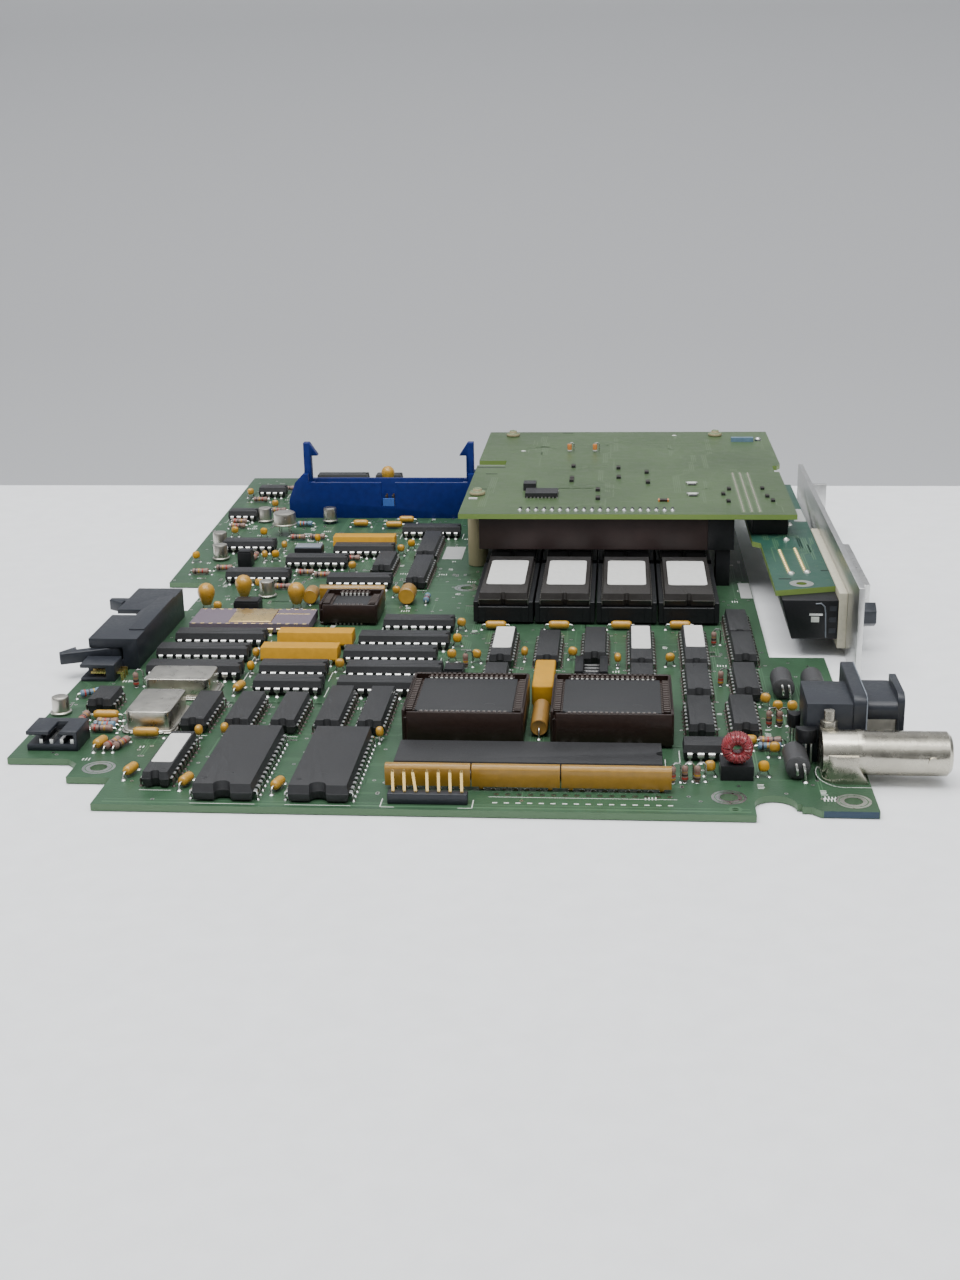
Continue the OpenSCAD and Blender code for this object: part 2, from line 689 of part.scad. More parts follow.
module bnc_contact() {
  color("gold") translate([bnc_end - bnc_l + 2, bnc_y, bnc_z]) rotate([0, 90, 0]) difference() {
    cylinder(r = bnc_pin_r, h = bnc_l - 6);
    translate([0, 0, bnc_l - 10]) cylinder(r = bnc_pin_r / 2, h = 5, $fn = 16);
  }
}
jack_plate_x = jack_x + jack_l;
jack_neck_x = jack_plate_x + jack_plate_t;
jack_rim_x = jack_neck_x + jack_neck_l;
jack_bore_x = jack_neck_x + jack_bore_back;
// Slab along X that spans Y from a to b and Z from bottom to top, its upper front edge rounded
module rounded_slab(x, l, a, b, bottom, top) {
  r = min(jack_round, (top - bottom) / 2);
  translate([x, 0, 0]) rotate([90, 0, 90]) linear_extrude(height = l) {
    translate([a + r, top - r]) circle(r = r);
    translate([a + r, bottom]) square([b - a - r, top - bottom]);
    translate([a, bottom]) square([b - a, top - bottom - r]);
  }
}
module jack_housing() {
  color(black) difference() {
    union() {
      translate([jack_x, jack_y - jack_w / 2, 0]) cube([jack_l, jack_w, jack_h]);
      rounded_slab(jack_neck_x, jack_neck_l + eps, jack_neck_y[0], jack_neck_y[1],
        jack_neck_h - jack_hood, jack_neck_h);
      translate([jack_plate_x - eps, jack_tongue[0], jack_neck_h - jack_hood + 0.6])
        cube([jack_plate_t + 2 * eps, jack_tongue[1], jack_hood - 1.8]);
      rounded_slab(jack_rim_x, jack_rim_t, jack_rim_y[0], jack_rim_y[1], 0.4, jack_rim_h);
    }
    translate([jack_rim_x - 1, jack_bore_y, jack_bore_z]) rotate([0, 90, 0])
      cylinder(d = jack_bore_d, h = jack_rim_t + 2);
  }
}
module jack_plate() {
  color(charcoal) difference() {
    rounded_slab(jack_plate_x, jack_plate_t, jack_plate_y[0], jack_plate_y[1], 0, jack_plate_h);
    translate([jack_plate_x - 1, jack_tongue[0] - 0.1, jack_neck_h - jack_hood + 0.5])
      cube([jack_plate_t + 2, jack_tongue[1] + 0.2, jack_hood - 1.6]);
  }
}
// Metal shield under the hood, with the plug's bore
module jack_sleeve() {
  color(silver) difference() {
    translate([jack_neck_x, jack_neck_y[0] + jack_shield_in, 0.8])
      cube([jack_neck_l, jack_rim_y[1] - jack_neck_y[0] - 2 * jack_shield_in,
        jack_neck_h - jack_hood - 0.8]);
    translate([jack_bore_x, jack_bore_y, jack_bore_z]) rotate([0, 90, 0])
      cylinder(d = jack_bore_d, h = jack_neck_l);
  }
}

// ---- box headers with ejector latches ----

// Housing along X with its mouth up: size is [cavity, end, width, height, floor]
module box_header(size, key_z) {
  half = size[0] / 2 + size[1];
  w = size[2];
  difference() {
    translate([-half, -w / 2, 0]) cube([2 * half, w, size[3]]);
    translate([-size[0] / 2, -w / 2 + header_wall, size[4]])
      cube([size[0], w - 2 * header_wall, size[3]]);
    translate([-key_w / 2, -w / 2 - 1, key_z]) cube([key_w, header_wall + 2, size[3]]);
    for (s = [-1, 1]) translate([s * half - size[1] - 1, -latch_t / 2 - latch_gap, size[4]])
      cube([2 * size[1] + 2, latch_t + 2 * latch_gap, size[3]]);
  }
  for (s = [-1, 1])
    translate([s * (size[0] / 2 + hinge_in), w / 2 - eps, size[4] + latch_boss_r + latch_gap])
      rotate([90, 0, 0]) cylinder(d = latch_pin_d, h = w - 2 * eps);
}
// One latch in the plane of XZ, hinged at the origin, upright, hook towards +X
module latch(h) {
  difference() {
    rotate([90, 0, 0]) translate([0, 0, -latch_t / 2]) linear_extrude(height = latch_t) {
      circle(r = latch_boss_r);
      translate([-latch_bar / 2, 0]) square([latch_bar, h - latch_hook_h]);
      polygon([[-latch_bar / 2, h - latch_hook_h - eps], [latch_bar / 2, h - latch_hook_h - eps],
        [latch_bar / 2, h - latch_hook_h + 0.6], [latch_bar / 2 + latch_hook, h - latch_hook_h + 0.6],
        [latch_bar / 2 - 0.6, h], [-latch_bar / 2, h]]);
    }
    translate([0, latch_t, 0]) rotate([90, 0, 0])
      cylinder(d = latch_pin_d + 2 * latch_pin_gap, h = 2 * latch_t);
  }
}
module header_pins(cols, h) {
  for (i = [0 : cols - 1]) for (r = [-1, 1])
    translate([(i - (cols - 1) / 2) * pitch - pin_w / 2, r * pitch / 2 - pin_w / 2, header_floor])
      cube([pin_w, pin_w, h]);
}
hinge_z = header_floor + latch_boss_r + latch_gap;
black_hinge_z = black_floor + latch_boss_r + latch_gap;
blue_hinge = blue_cavity_l / 2 + hinge_in;
black_hinge = black_cavity_l / 2 + hinge_in;
blue_half = blue_cavity_l / 2 + blue_end_l;
// The ends of the blue header are chamfered, and rise in an ear on each side of the latch
module blue_header_housing() {
  color("#16309a") translate([blue_x, blue_y, 0]) {
    difference() {
      box_header([blue_cavity_l, blue_end_l, blue_w, blue_h, header_floor], blue_h * 0.33);
      for (s = [0, 1]) mirror([s, 0, 0]) rotate([90, 0, 0]) translate([0, 0, -blue_w])
        linear_extrude(height = 2 * blue_w)
          polygon([[-blue_half - 1, blue_chamfer[1]], [-blue_half, blue_chamfer[1]],
            [-blue_half + blue_chamfer[0], blue_h], [-blue_half + blue_chamfer[0], blue_h + 1],
            [-blue_half - 1, blue_h + 1]]);
    }
    for (s = [0, 1]) mirror([s, 0, 0]) for (t = [-1, 1])
      translate([0, t * (blue_w / 4 + latch_t / 4 + latch_gap / 2), 0]) rotate([90, 0, 0])
        translate([0, 0, -(blue_w - latch_t) / 4 + latch_gap / 2])
          linear_extrude(height = (blue_w - latch_t) / 2 - latch_gap)
            polygon([[-blue_half + blue_chamfer[0], blue_h - eps],
              [-blue_half + blue_chamfer[0] + 3, blue_h + blue_ear],
              [-blue_half + blue_chamfer[0] + 5, blue_h + blue_ear],
              [-blue_half + blue_chamfer[0] + 5, blue_h - eps]]);
  }
}
module blue_header_pins() {
  color("gold") translate([blue_x, blue_y, 0]) header_pins(blue_cols, pin_reach);
}
module blue_latch_left() {
  color("#2243b0") translate([blue_x - blue_hinge, blue_y, hinge_z]) latch(blue_latch_h);
}
module blue_latch_right() {
  color("#2243b0") translate([blue_x + blue_hinge, blue_y, hinge_z]) mirror([1, 0, 0]) latch(blue_latch_h);
}
// The black header lies on its side: its mouth faces left
module lay_left() {
  translate([black_x, black_y, black_w / 2]) rotate([0, -90, 0]) rotate([0, 0, 90]) children();
}
black_pin_z = [black_w / 2 - pitch / 2, black_w / 2 + pitch / 2];
black_groove_top = black_pin_z[1] + pin_w;
// A groove inside the back wall hides the bent part of the pins
module black_header_housing() {
  color(black) difference() {
    union() {
      lay_left() box_header([black_cavity_l, black_end_l, black_w, black_h, black_floor], black_h * 0.485);
      translate([black_x - black_rib[2] - 0.1, black_rib[0], black_w - eps])
        cube([black_rib[2], black_rib[1] - black_rib[0], black_rib[3]]);
    }
    translate([black_x - black_groove[1], black_y - black_cavity_l / 2, -1])
      cube([black_groove[1] - black_groove[0], black_cavity_l, black_groove_top + 1]);
    for (z = black_pin_z)
      translate([black_x - black_floor - 1, black_y - black_cavity_l / 2, z - pin_w / 2 - 0.05])
        cube([black_floor - black_groove[0] + 1, black_cavity_l, pin_w + 0.1]);
  }
}
// Each pin runs out of the groove to the mouth; its other end turns down to the board
module black_header_pins() {
  color("gold") for (i = [0 : black_cols - 1]) for (r = [0, 1]) {
    z = black_pin_z[r];
    foot = black_x - black_groove[1] + 0.2 + r * 1.1;
    tip = black_x - black_floor - pin_reach;
    translate([0, black_y + (i - (black_cols - 1) / 2) * pitch + pin_w / 2, 0])
      rotate([90, 0, 0]) linear_extrude(height = pin_w)
        polygon([[foot, 0], [foot + pin_w, 0], [foot + pin_w, z + pin_w / 2],
          [tip, z + pin_w / 2], [tip, z - pin_w / 2], [foot, z - pin_w / 2]]);
  }
}
// The near latch is drawn swung open, the far latch is closed
module black_latch_near() {
  color(charcoal) lay_left() translate([-black_hinge, 0, black_hinge_z])
    rotate([0, -black_open, 0]) latch(black_latch_h);
}
module black_latch_far() {
  color(charcoal) lay_left() translate([black_hinge, 0, black_hinge_z]) mirror([1, 0, 0]) latch(black_latch_h);
}

// ---- small headers ----

// Both have a base, a back wall and plates over the top; the side header's mouth is to the left
module side_header_body() {
  color(black) translate([side_x, side_y, 0]) {
    cube([side_size[0], side_size[1], side_floor]);
    translate([side_size[0] - side_back, 0, 0]) cube([side_back, side_size[1], side_size[2]]);
    translate([0, 0, side_size[2] - 1]) cube([side_size[0], side_size[1], 1]);
    translate([0, side_size[1] - 0.8, 0]) cube([side_size[0], 0.8, side_size[2]]);
  }
}
module side_header_pins() {
  z = side_size[2] / 2;
  x = side_size[0];
  color("gold") for (i = [0 : side_pins - 1])
    translate([side_x, side_y + side_size[1] / 2 + (i - (side_pins - 1) / 2) * 2 + pin_w / 2, 0])
      rotate([90, 0, 0]) linear_extrude(height = pin_w)
        union() {
          polygon([[x, z], [x, z - pin_w], [x + 1.2, z - pin_w], [x + 1.2, 0],
            [x + 1.2 + pin_w, 0], [x + 1.2 + pin_w, z]]);
          translate([x - side_back - side_reach, z - pin_w]) square([side_reach, pin_w]);
        }
}
module power_header_body() {
  tabs = [[0, power_size[0] * 0.45], [power_size[0] * 0.66, power_size[0]]];
  color(black) translate([power_x, power_y, 0]) {
    cube([power_size[0], power_size[1], power_base]);
    translate([0, power_size[1] - 2.2, 0]) cube([power_size[0], 2.2, power_size[2]]);
    translate([power_size[0] - 1, 0, 0]) cube([1, power_size[1], power_size[2]]);
    for (t = tabs) translate([t[0], 0, power_size[2] - 1]) cube([t[1] - t[0], power_size[1], 1]);
  }
}
module power_header_pins() {
  color(silver) for (i = [0 : power_pins - 1])
    translate([power_x + 3.4 + i * power_pitch - 0.4, power_y + 0.7, power_base])
      cube([0.8, power_size[1] - 2.9, 1.2]);
}
module test_header_body() {
  color(black) translate([test_x - test_pins * pitch / 2, test_y - test_body / 2, 0])
    cube([test_pins * pitch, test_body, test_body]);
}
module test_header_pins() {
  color("gold") for (i = [0 : test_pins - 1])
    translate([test_x + (i - (test_pins - 1) / 2) * pitch - pin_w / 2, test_y - pin_w / 2, test_body])
      cube([pin_w, pin_w, test_pin_top - test_body]);
}

// ---- chips ----

// Chip body along X: a bar with a ridge at mid height and a round notch in its left end
module dip_body(l, w, lift, top, notch) {
  mid = (lift + top) / 2;
  difference() {
    rotate([90, 0, 90]) translate([0, 0, -l / 2]) linear_extrude(height = l)
      polygon([[-w / 2 + dip_draft, lift], [w / 2 - dip_draft, lift], [w / 2, mid - 0.2],
        [w / 2, mid + 0.2], [w / 2 - dip_draft, top], [-w / 2 + dip_draft, top],
        [-w / 2, mid + 0.2], [-w / 2, mid - 0.2]]);
    translate([-l / 2, 0, top - dip_notch_depth]) cylinder(r = notch, h = 2, $fn = 24);
  }
}
module dip(n) {
  dip_body(n / 2 * pitch + dip_over, dip_narrow, dip_lift, dip_top, dip_notch_r);
}
module chips(places) {
  for (c = places) translate([c[0], c[1], 0]) rotate([0, 0, c[3]]) dip(c[2]);
}
// Two rows of leads: a shoulder out of the body's side, then down to the board
module dip_leads(n, row, w) {
  z = (dip_lift + dip_top) / 2;
  reach = row / 2 - w / 2;
  for (s = [0, 1]) mirror([0, s, 0]) for (i = [0 : n / 2 - 1])
    translate([(i - (n / 2 - 1) / 2) * pitch - lead_w / 2, row / 2, 0])
      rotate([90, 0, 90]) linear_extrude(height = lead_w)
        polygon([[0, 0], [lead_t, 0], [lead_t, z + lead_t / 2], [-reach, z + lead_t / 2],
          [-reach, z - lead_t / 2], [0, z - lead_t / 2]]);
}
module processor() {
  color(charcoal) translate([processor_place[0], processor_place[1], 0]) rotate([0, 0, 180])
    dip_body(processor_l, dip_wide, dip_lift, dip_top + 0.3, dip_notch_r + 0.3);
}
module processor_leads() {
  color(silver) translate([processor_place[0], processor_place[1], 0]) dip_leads(48, row_wide, dip_wide);
}
module memory_chips() {
  color(charcoal) for (p = memory_places) translate([p[0], p[1], 0]) rotate([0, 0, 90])
    dip_body(memory_l, dip_wide, dip_lift, dip_top + 0.3, memory_notch_r);
}
module memory_leads() {
  color(silver) for (p = memory_places) translate([p[0], p[1], 0]) rotate([0, 0, 90])
    dip_leads(28, row_wide, dip_wide);
}
module logic_chips_front() { color(charcoal) chips(front_chips); }
module logic_chips_left() { color(charcoal) chips(left_chips); }
module logic_chips_rear() { color(charcoal) chips(rear_chips); }
// Square socket: a wall round a pocket, with a lower ledge under the chip
module square_socket(w, h, chip) {
  difference() {
    translate([-w / 2, -w / 2, 0]) cube([w, w, h]);
    translate([-chip / 2 - plcc_wall_gap, -chip / 2 - plcc_wall_gap, h * 0.36])
      cube([chip + 2 * plcc_wall_gap, chip + 2 * plcc_wall_gap, h]);
    translate([-w / 2 + plcc_rim, -w / 2 + plcc_rim, h - plcc_rim])
      cube([w - 2 * plcc_rim, w - 2 * plcc_rim, h]);
    translate([-chip / 3, -chip / 3, -1]) cube([chip / 1.5, chip / 1.5, h]);
  }
}
module plcc_sockets() {
  color("#2e2420") for (p = plcc_places) translate([p[0], p[1], 0])
    square_socket(plcc_socket_w, plcc_socket_h, plcc_chip_w);
}
module plcc_chips() {
  color(charcoal) for (p = plcc_places)
    translate([p[0] - plcc_chip_w / 2, p[1] - plcc_chip_w / 2, plcc_socket_h * 0.36])
      cube([plcc_chip_w, plcc_chip_w, plcc_socket_h * 0.64 - 0.6]);
}
module small_plcc_socket() {
  color("#3a2b25") translate([small_plcc_place[0], small_plcc_place[1], 0])
    square_socket(small_socket_w, small_socket_h, small_chip_w);
}
module small_plcc_chip() {
  color(charcoal) translate([small_plcc_place[0] - small_chip_w / 2, small_plcc_place[1] - small_chip_w / 2,
    small_socket_h * 0.36]) cube([small_chip_w, small_chip_w, small_socket_h * 0.64 - 1.2]);
}
module rom_each() {
  for (y = rom_rows_y) for (i = [0 : 3]) translate([rom_first_x + i * rom_pitch, y, 0]) children();
}
module rom_sockets() {
  color("#1c1c1f") rom_each() difference() {
    translate([-rom_socket_w / 2, -rom_socket_l / 2, 0]) cube([rom_socket_w, rom_socket_l, rom_socket_h]);
    translate([-rom_chip_w / 2 - 0.1, -rom_socket_l / 2 - 1, rom_seat])
      cube([rom_chip_w + 0.2, rom_socket_l + 2, rom_socket_h]);
  }
}
module rom_chips() {
  color(charcoal) rom_each() rotate([0, 0, 90])
    dip_body(rom_l, rom_chip_w, rom_seat, rom_seat + rom_chip_t, dip_notch_r);
}
module rom_labels() {
  color("white") rom_each() translate([-label_w / 2, -label_l / 2 + 2, rom_seat + rom_chip_t])
    cube([label_w, label_l, label_t]);
}
module ceramic_chip() {
  color("#6b5a66") translate([ceramic_place[0] - ceramic_l / 2, ceramic_place[1] - ceramic_w / 2, 0.8])
    cube([ceramic_l, ceramic_w, ceramic_top - 0.8]);
}
module ceramic_lid() {
  color("#c9a45c") translate([ceramic_place[0] - lid_w / 2, ceramic_place[1] - lid_w / 2, ceramic_top])
    cube([lid_w, lid_w, lid_t]);
}

// ---- small parts ----

module sip_networks() {
  color(amber) {
    for (s = sip_spans) translate([s[0], sip_front_y - sip_t / 2, sip_lift])
      cube([s[1] - s[0], sip_t, sip_h - sip_lift]);
    translate([sip_rear[0] - sip_rear_l / 2, sip_rear[1] - sip_t / 2, sip_lift])
      cube([sip_rear_l, sip_t, sip_h - sip_lift]);
  }
}
module dip_networks() {
  color(amber) for (p = network_places)
    translate([p[0] - network_l / 2, p[1] - network_w / 2, network_lift])
      cube([network_l, network_w, network_top - network_lift]);
  color(silver) for (p = network_places) for (s = [-1, 1]) for (i = [0 : 7])
    translate([p[0] + (i - 3.5) * pitch - 0.25, p[1] + s * (network_w / 2 - 0.6) - 0.15, 0])
      cube([0.5, 0.3, network_lift]);
}
module rounded_plate(l, w, r, h) {
  linear_extrude(height = h) for (sx = [-1, 1]) for (sy = [-1, 1])
    translate([sx * (l / 2 - r), sy * (w / 2 - r)]) circle(r = r);
  translate([-l / 2 + r, -w / 2, 0]) cube([l - 2 * r, w, h]);
  translate([-l / 2, -w / 2 + r, 0]) cube([l, w - 2 * r, h]);
}
module oscillators() {
  color(silver) for (p = can_places) translate([p[0], p[1], 0]) rotate([0, 0, p[2]]) {
    rounded_plate(can_l + 2 * can_flange, can_w + 2 * can_flange, can_round + can_flange, can_flange_t);
    translate([0, 0, can_flange_t - eps]) rounded_plate(can_l, can_w, can_round, can_h - can_flange_t);
  }
}
// Can with a flange, on three legs
module metal_transistors() {
  color(silver) for (p = to_places) translate([p[0], p[1], 0]) {
    translate([0, 0, p[5]]) rotate_extrude()
      polygon([[0, 0], [p[2], 0], [p[2], 0.5], [p[3], 0.5], [p[3], p[4] - 0.4], [p[3] - 0.4, p[4]],
        [0, p[4]]]);
    for (a = [45, 135, 270]) rotate([0, 0, a]) translate([p[2] * to_leg_ring, 0, 0])
      cylinder(r = to_leg_r, h = p[5] + eps, $fn = 16);
  }
}
// Drop-shaped bead on two legs, and the can capacitors that lie down
module tantalum_capacitors() {
  r = bead_d / 2;
  color(amber) for (p = bead_places) translate([p[0], p[1], 0]) {
    translate([0, 0, p[2] - 2.6 * r]) rotate_extrude()
      polygon(concat([[0, 0], [r * 0.55, 0]],
        [for (a = [-10 : 20 : 90]) [r * cos(a), 1.6 * r + r * sin(a)]]));
    for (s = [-1, 1]) translate([s * bead_leg_x, 0, 0])
      cylinder(r = bead_leg_r, h = p[2] - 2.6 * r + 0.5, $fn = 16);
  }
  color("#b99a4a") for (p = lying_cans) translate([p[0], p[1], p[2] + lying_lift]) {
    rotate([-90, 0, 0]) cylinder(r = p[2], h = p[3]);
    for (y = [0.5, p[3] - 0.5]) translate([0, y, -p[2] - lying_lift])
      cylinder(r = bead_leg_r, h = p[2], $fn = 16);
  }
}
module box_capacitor() {
  color(amber) translate([box_cap[0], box_cap[1], 0]) cube(box_cap_size);
}
module axial_capacitors() {
  color(amber) for (p = axial_places) {
    r = p[3] > 10 ? axial_long_r : axial_r;
    translate([p[0], p[1], r + axial_lift]) rotate([0, 0, p[2]]) {
      rotate([0, 90, 0]) cylinder(r = r, h = p[3], center = true);
      for (s = [-1, 1]) translate([s * (p[3] / 2 - 0.3), 0, -r - axial_lift])
        cylinder(r = bead_leg_r, h = r + axial_lift, $fn = 16);
    }
  }
}
module ceramic_capacitors() {
  color(amber) for (p = cap_places) translate([p[0], p[1], 0]) {
    translate([0, 0, cap_lift + cap_r]) sphere(r = cap_r, $fn = 32);
    cylinder(r = cap_leg_r, h = cap_lift + cap_r, $fn = 16);
  }
}
module resistors() {
  color("#b98b7c") {
    for (p = resistor_places) translate([p[0], p[1], resistor_r + resistor_lift])
      rotate([0, 0, p[2]]) rotate([0, 90, 0])
        cylinder(r = resistor_r, h = resistor_l, center = true, $fn = 20);
    for (p = resistor_upright) translate([p[0], p[1], resistor_lift])
      cylinder(r = resistor_up_r, h = resistor_up_h, $fn = 20);
  }
}
module ferrite_beads() {
  color("#3c3c3f") for (p = ferrite_places) translate([p[0], p[1], ferrite_d / 2]) rotate([-90, 0, 0])
    difference() {
      cylinder(d = ferrite_d, h = ferrite_l);
      for (s = [-1, 1]) translate([s * ferrite_d / 6, 0, -1])
        cylinder(r = ferrite_hole_r, h = ferrite_l + 2, $fn = 16);
    }
}
// Wound ring standing on a plinth, its axis along Y
module toroid_choke() {
  color(black) translate([ring_x - ring_base_w / 2, ring_y - ring_base_w / 2, 0])
    cube([ring_base_w, ring_base_w, ring_base_h]);
  color("#a83a3a") translate([ring_x, ring_y - ring_forward, ring_base_h + ring_d / 2])
    rotate([90, 0, 0]) rotate_extrude()
      translate([ring_hole_r, -ring_t / 2]) square([ring_d / 2 - ring_hole_r, ring_t]);
}
module small_modules() {
  color(black) {
    for (p = module_places)
      translate([p[0] - p[2] / 2, p[1] - p[3] / 2, 0]) cube([p[2], p[3], p[4]]);
    for (p = open_sockets) translate([p[0] - p[2] / 2, p[1] - p[3] / 2, 0]) difference() {
      cube([p[2], p[3], p[4]]);
      translate([(p[2] - open_channel[0]) / 2, -1, p[4] - open_channel[1]])
        cube([open_channel[0], p[3] + 2, open_channel[1] + 1]);
    }
    for (p = transistor_places) translate([jack_x + p[0], p[1], 0]) {
      translate([-p[2] / 2, -transistor_size[0], transistor_z])
        cube([p[2], transistor_size[0], transistor_size[1]]);
      for (i = [-1 : 1])
        translate([(i * p[2] / 2 - transistor_leg[0]) / 2, -2 * transistor_leg[1], 0])
          cube([transistor_leg[0], transistor_leg[1], transistor_z + eps]);
    }
  }
}

main_board();
mezzanine_board();
interface_board();
mezzanine_posts();
mezzanine_connector();
interface_connector();
rear_bracket();
gpib_flange();
gpib_housing();
gpib_shell();
gpib_contact_block();
jackscrews();
bnc_body();
bnc_insulator();
bnc_contact();
jack_housing();
jack_plate();
jack_sleeve();
blue_header_housing();
blue_header_pins();
blue_latch_left();
blue_latch_right();
black_header_housing();
black_header_pins();
black_latch_near();
black_latch_far();
side_header_body();
side_header_pins();
power_header_body();
power_header_pins();
test_header_body();
test_header_pins();
processor();
processor_leads();
plcc_sockets();
plcc_chips();
small_plcc_socket();
small_plcc_chip();
rom_sockets();
rom_chips();
rom_labels();
memory_chips();
memory_leads();
ceramic_chip();
ceramic_lid();
logic_chips_front();
logic_chips_left();
logic_chips_rear();
sip_networks();
dip_networks();
oscillators();
metal_transistors();
tantalum_capacitors();
box_capacitor();
axial_capacitors();
ceramic_capacitors();
resistors();
ferrite_beads();
toroid_choke();
small_modules();
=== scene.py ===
"""Looks of the controller board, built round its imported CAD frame."""

import json
import math
import random

import bpy
import bmesh
import numpy as np
from mathutils import Matrix, Vector
from mathutils.bvhtree import BVHTree


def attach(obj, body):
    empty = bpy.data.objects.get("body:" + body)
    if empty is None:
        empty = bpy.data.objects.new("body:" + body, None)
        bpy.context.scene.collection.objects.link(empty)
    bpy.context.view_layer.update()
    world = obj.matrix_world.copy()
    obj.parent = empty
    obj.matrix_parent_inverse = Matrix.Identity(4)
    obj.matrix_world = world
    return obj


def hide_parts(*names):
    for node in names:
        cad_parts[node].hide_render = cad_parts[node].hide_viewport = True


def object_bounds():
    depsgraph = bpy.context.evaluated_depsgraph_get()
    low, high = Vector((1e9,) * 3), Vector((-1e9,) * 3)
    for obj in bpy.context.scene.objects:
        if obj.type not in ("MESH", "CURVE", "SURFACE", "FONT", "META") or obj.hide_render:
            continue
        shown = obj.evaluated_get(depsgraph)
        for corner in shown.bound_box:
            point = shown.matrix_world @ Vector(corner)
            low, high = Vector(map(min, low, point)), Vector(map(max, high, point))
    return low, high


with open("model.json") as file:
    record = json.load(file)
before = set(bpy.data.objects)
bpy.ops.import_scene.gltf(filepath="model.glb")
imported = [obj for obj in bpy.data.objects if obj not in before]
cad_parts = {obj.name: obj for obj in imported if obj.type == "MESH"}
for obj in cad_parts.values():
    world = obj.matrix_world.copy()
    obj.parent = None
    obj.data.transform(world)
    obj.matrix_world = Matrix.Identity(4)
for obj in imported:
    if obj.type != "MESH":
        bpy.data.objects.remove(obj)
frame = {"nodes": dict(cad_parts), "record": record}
cad_lo, cad_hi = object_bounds()

MM = 0.001
ROOT = "boards"
PITCH = 2.54
HALF_PITCH = PITCH / 2


def at(x, y, z=0.0):
    return Matrix.Translation((x, y, z))


def spin(deg, axis="Z"):
    return Matrix.Rotation(math.radians(deg), 4, axis)


def turn_at(x, y, deg=0):
    return at(x, y) @ spin(deg)


def put_in_scene(name, data):
    o = bpy.data.objects.new(name, data)
    bpy.context.scene.collection.objects.link(o)
    return o


# ---------------------------------------------------------------- camera

CAMERA_AT = (0.12115, -0.34779, 0.1455)
TILT_DOWN = 17.962
TURN_LEFT = 5.043
ROLL = -1.062
LENS = 46.04


def make_camera():
    data = bpy.data.cameras.new("camera")
    cam = put_in_scene("camera", data)
    cam.matrix_world = at(*CAMERA_AT) @ spin(TURN_LEFT) @ spin(90 - TILT_DOWN, "X") @ spin(ROLL)
    data.lens = LENS
    data.sensor_width = 36
    data.clip_start = 0.01
    data.clip_end = 20
    bpy.context.scene.camera = cam


# ---------------------------------------------------------------- materials

def add_node(nt, kind, inputs=None, operation=None, data_type=None):
    """New shader node; each input takes a plain value or the output of another node."""
    new = nt.nodes.new("ShaderNode" + kind)
    if operation:
        new.operation = operation
    if data_type:
        new.data_type = data_type
    fill_inputs(nt, new, inputs or {})
    return new


def fill_inputs(nt, shader_node, inputs):
    for key, value in inputs.items():
        if isinstance(value, bpy.types.NodeSocket):
            nt.links.new(value, shader_node.inputs[key])
        else:
            shader_node.inputs[key].default_value = value


def colour_ramp(nt, fac, stops):
    """Ramp through (position, colour) stops; gives its colour output."""
    ramp = add_node(nt, "ValToRGB", {"Fac": fac})
    elements = ramp.color_ramp.elements
    first, *between, last = stops
    for element, (position, colour) in ((elements[0], first), (elements[1], last)):
        element.position = position
        element.color = (*colour, 1)
    for position, colour in between:
        elements.new(position).color = (*colour, 1)
    return ramp.outputs["Color"]


def node_material(name):
    m = bpy.data.materials.new(name)
    m.use_nodes = True
    nt = m.node_tree
    return m, nt, nt.nodes["Principled BSDF"]


ROUGH_SPREAD = 0.1
BUMP_DEPTH = 0.0002


def material(name, colour, rough=0.5, metal=0.0, spread=0.12, grain=900.0, bump=0.0, bump_scale=2500.0,
             spec=0.5, coat=0.0, big=120.0, big_spread=0.0):
    """Principled surface with noise in its colour and roughness, and a fine bump."""
    m, nt, b = node_material(name)
    place = add_node(nt, "TexCoord").outputs["Object"]
    noise = add_node(nt, "TexNoise", {"Scale": grain, "Detail": 4, "Vector": place}).outputs["Fac"]
    darker = [max(0.0, c * (1 - spread)) for c in colour]
    paler = [min(1.0, c * (1 + spread)) for c in colour]
    colour_out = colour_ramp(nt, noise, [(0.3, darker), (0.7, paler)])
    if big_spread:
        wide = add_node(nt, "TexNoise", {"Scale": big, "Vector": place}).outputs["Fac"]
        shade = add_node(nt, "MapRange", {"Value": wide, "From Min": 0.3, "From Max": 0.7,
                                          "To Min": 1 - big_spread, "To Max": 1 + big_spread})
        mottled = add_node(nt, "VectorMath", {0: colour_out, "Scale": shade.outputs["Result"]},
                           operation="SCALE")
        colour_out = mottled.outputs["Vector"]
    roughness = add_node(nt, "MapRange", {"Value": noise, "To Min": max(0.02, rough - ROUGH_SPREAD),
                                          "To Max": min(1.0, rough + ROUGH_SPREAD)})
    fill_inputs(nt, b, {"Base Color": colour_out, "Roughness": roughness.outputs["Result"],
                        "Metallic": metal, "Specular IOR Level": spec, "Coat Weight": coat})
    if bump:
        fine = add_node(nt, "TexNoise", {"Scale": bump_scale, "Detail": 3, "Vector": place})
        relief = add_node(nt, "Bump", {"Strength": bump, "Distance": BUMP_DEPTH,
                                       "Height": fine.outputs["Fac"]})
        fill_inputs(nt, b, {"Normal": relief.outputs["Normal"]})
    return m


def metal(name, colour, rough=0.3, **more):
    return material(name, colour, rough, metal=1.0, **more)


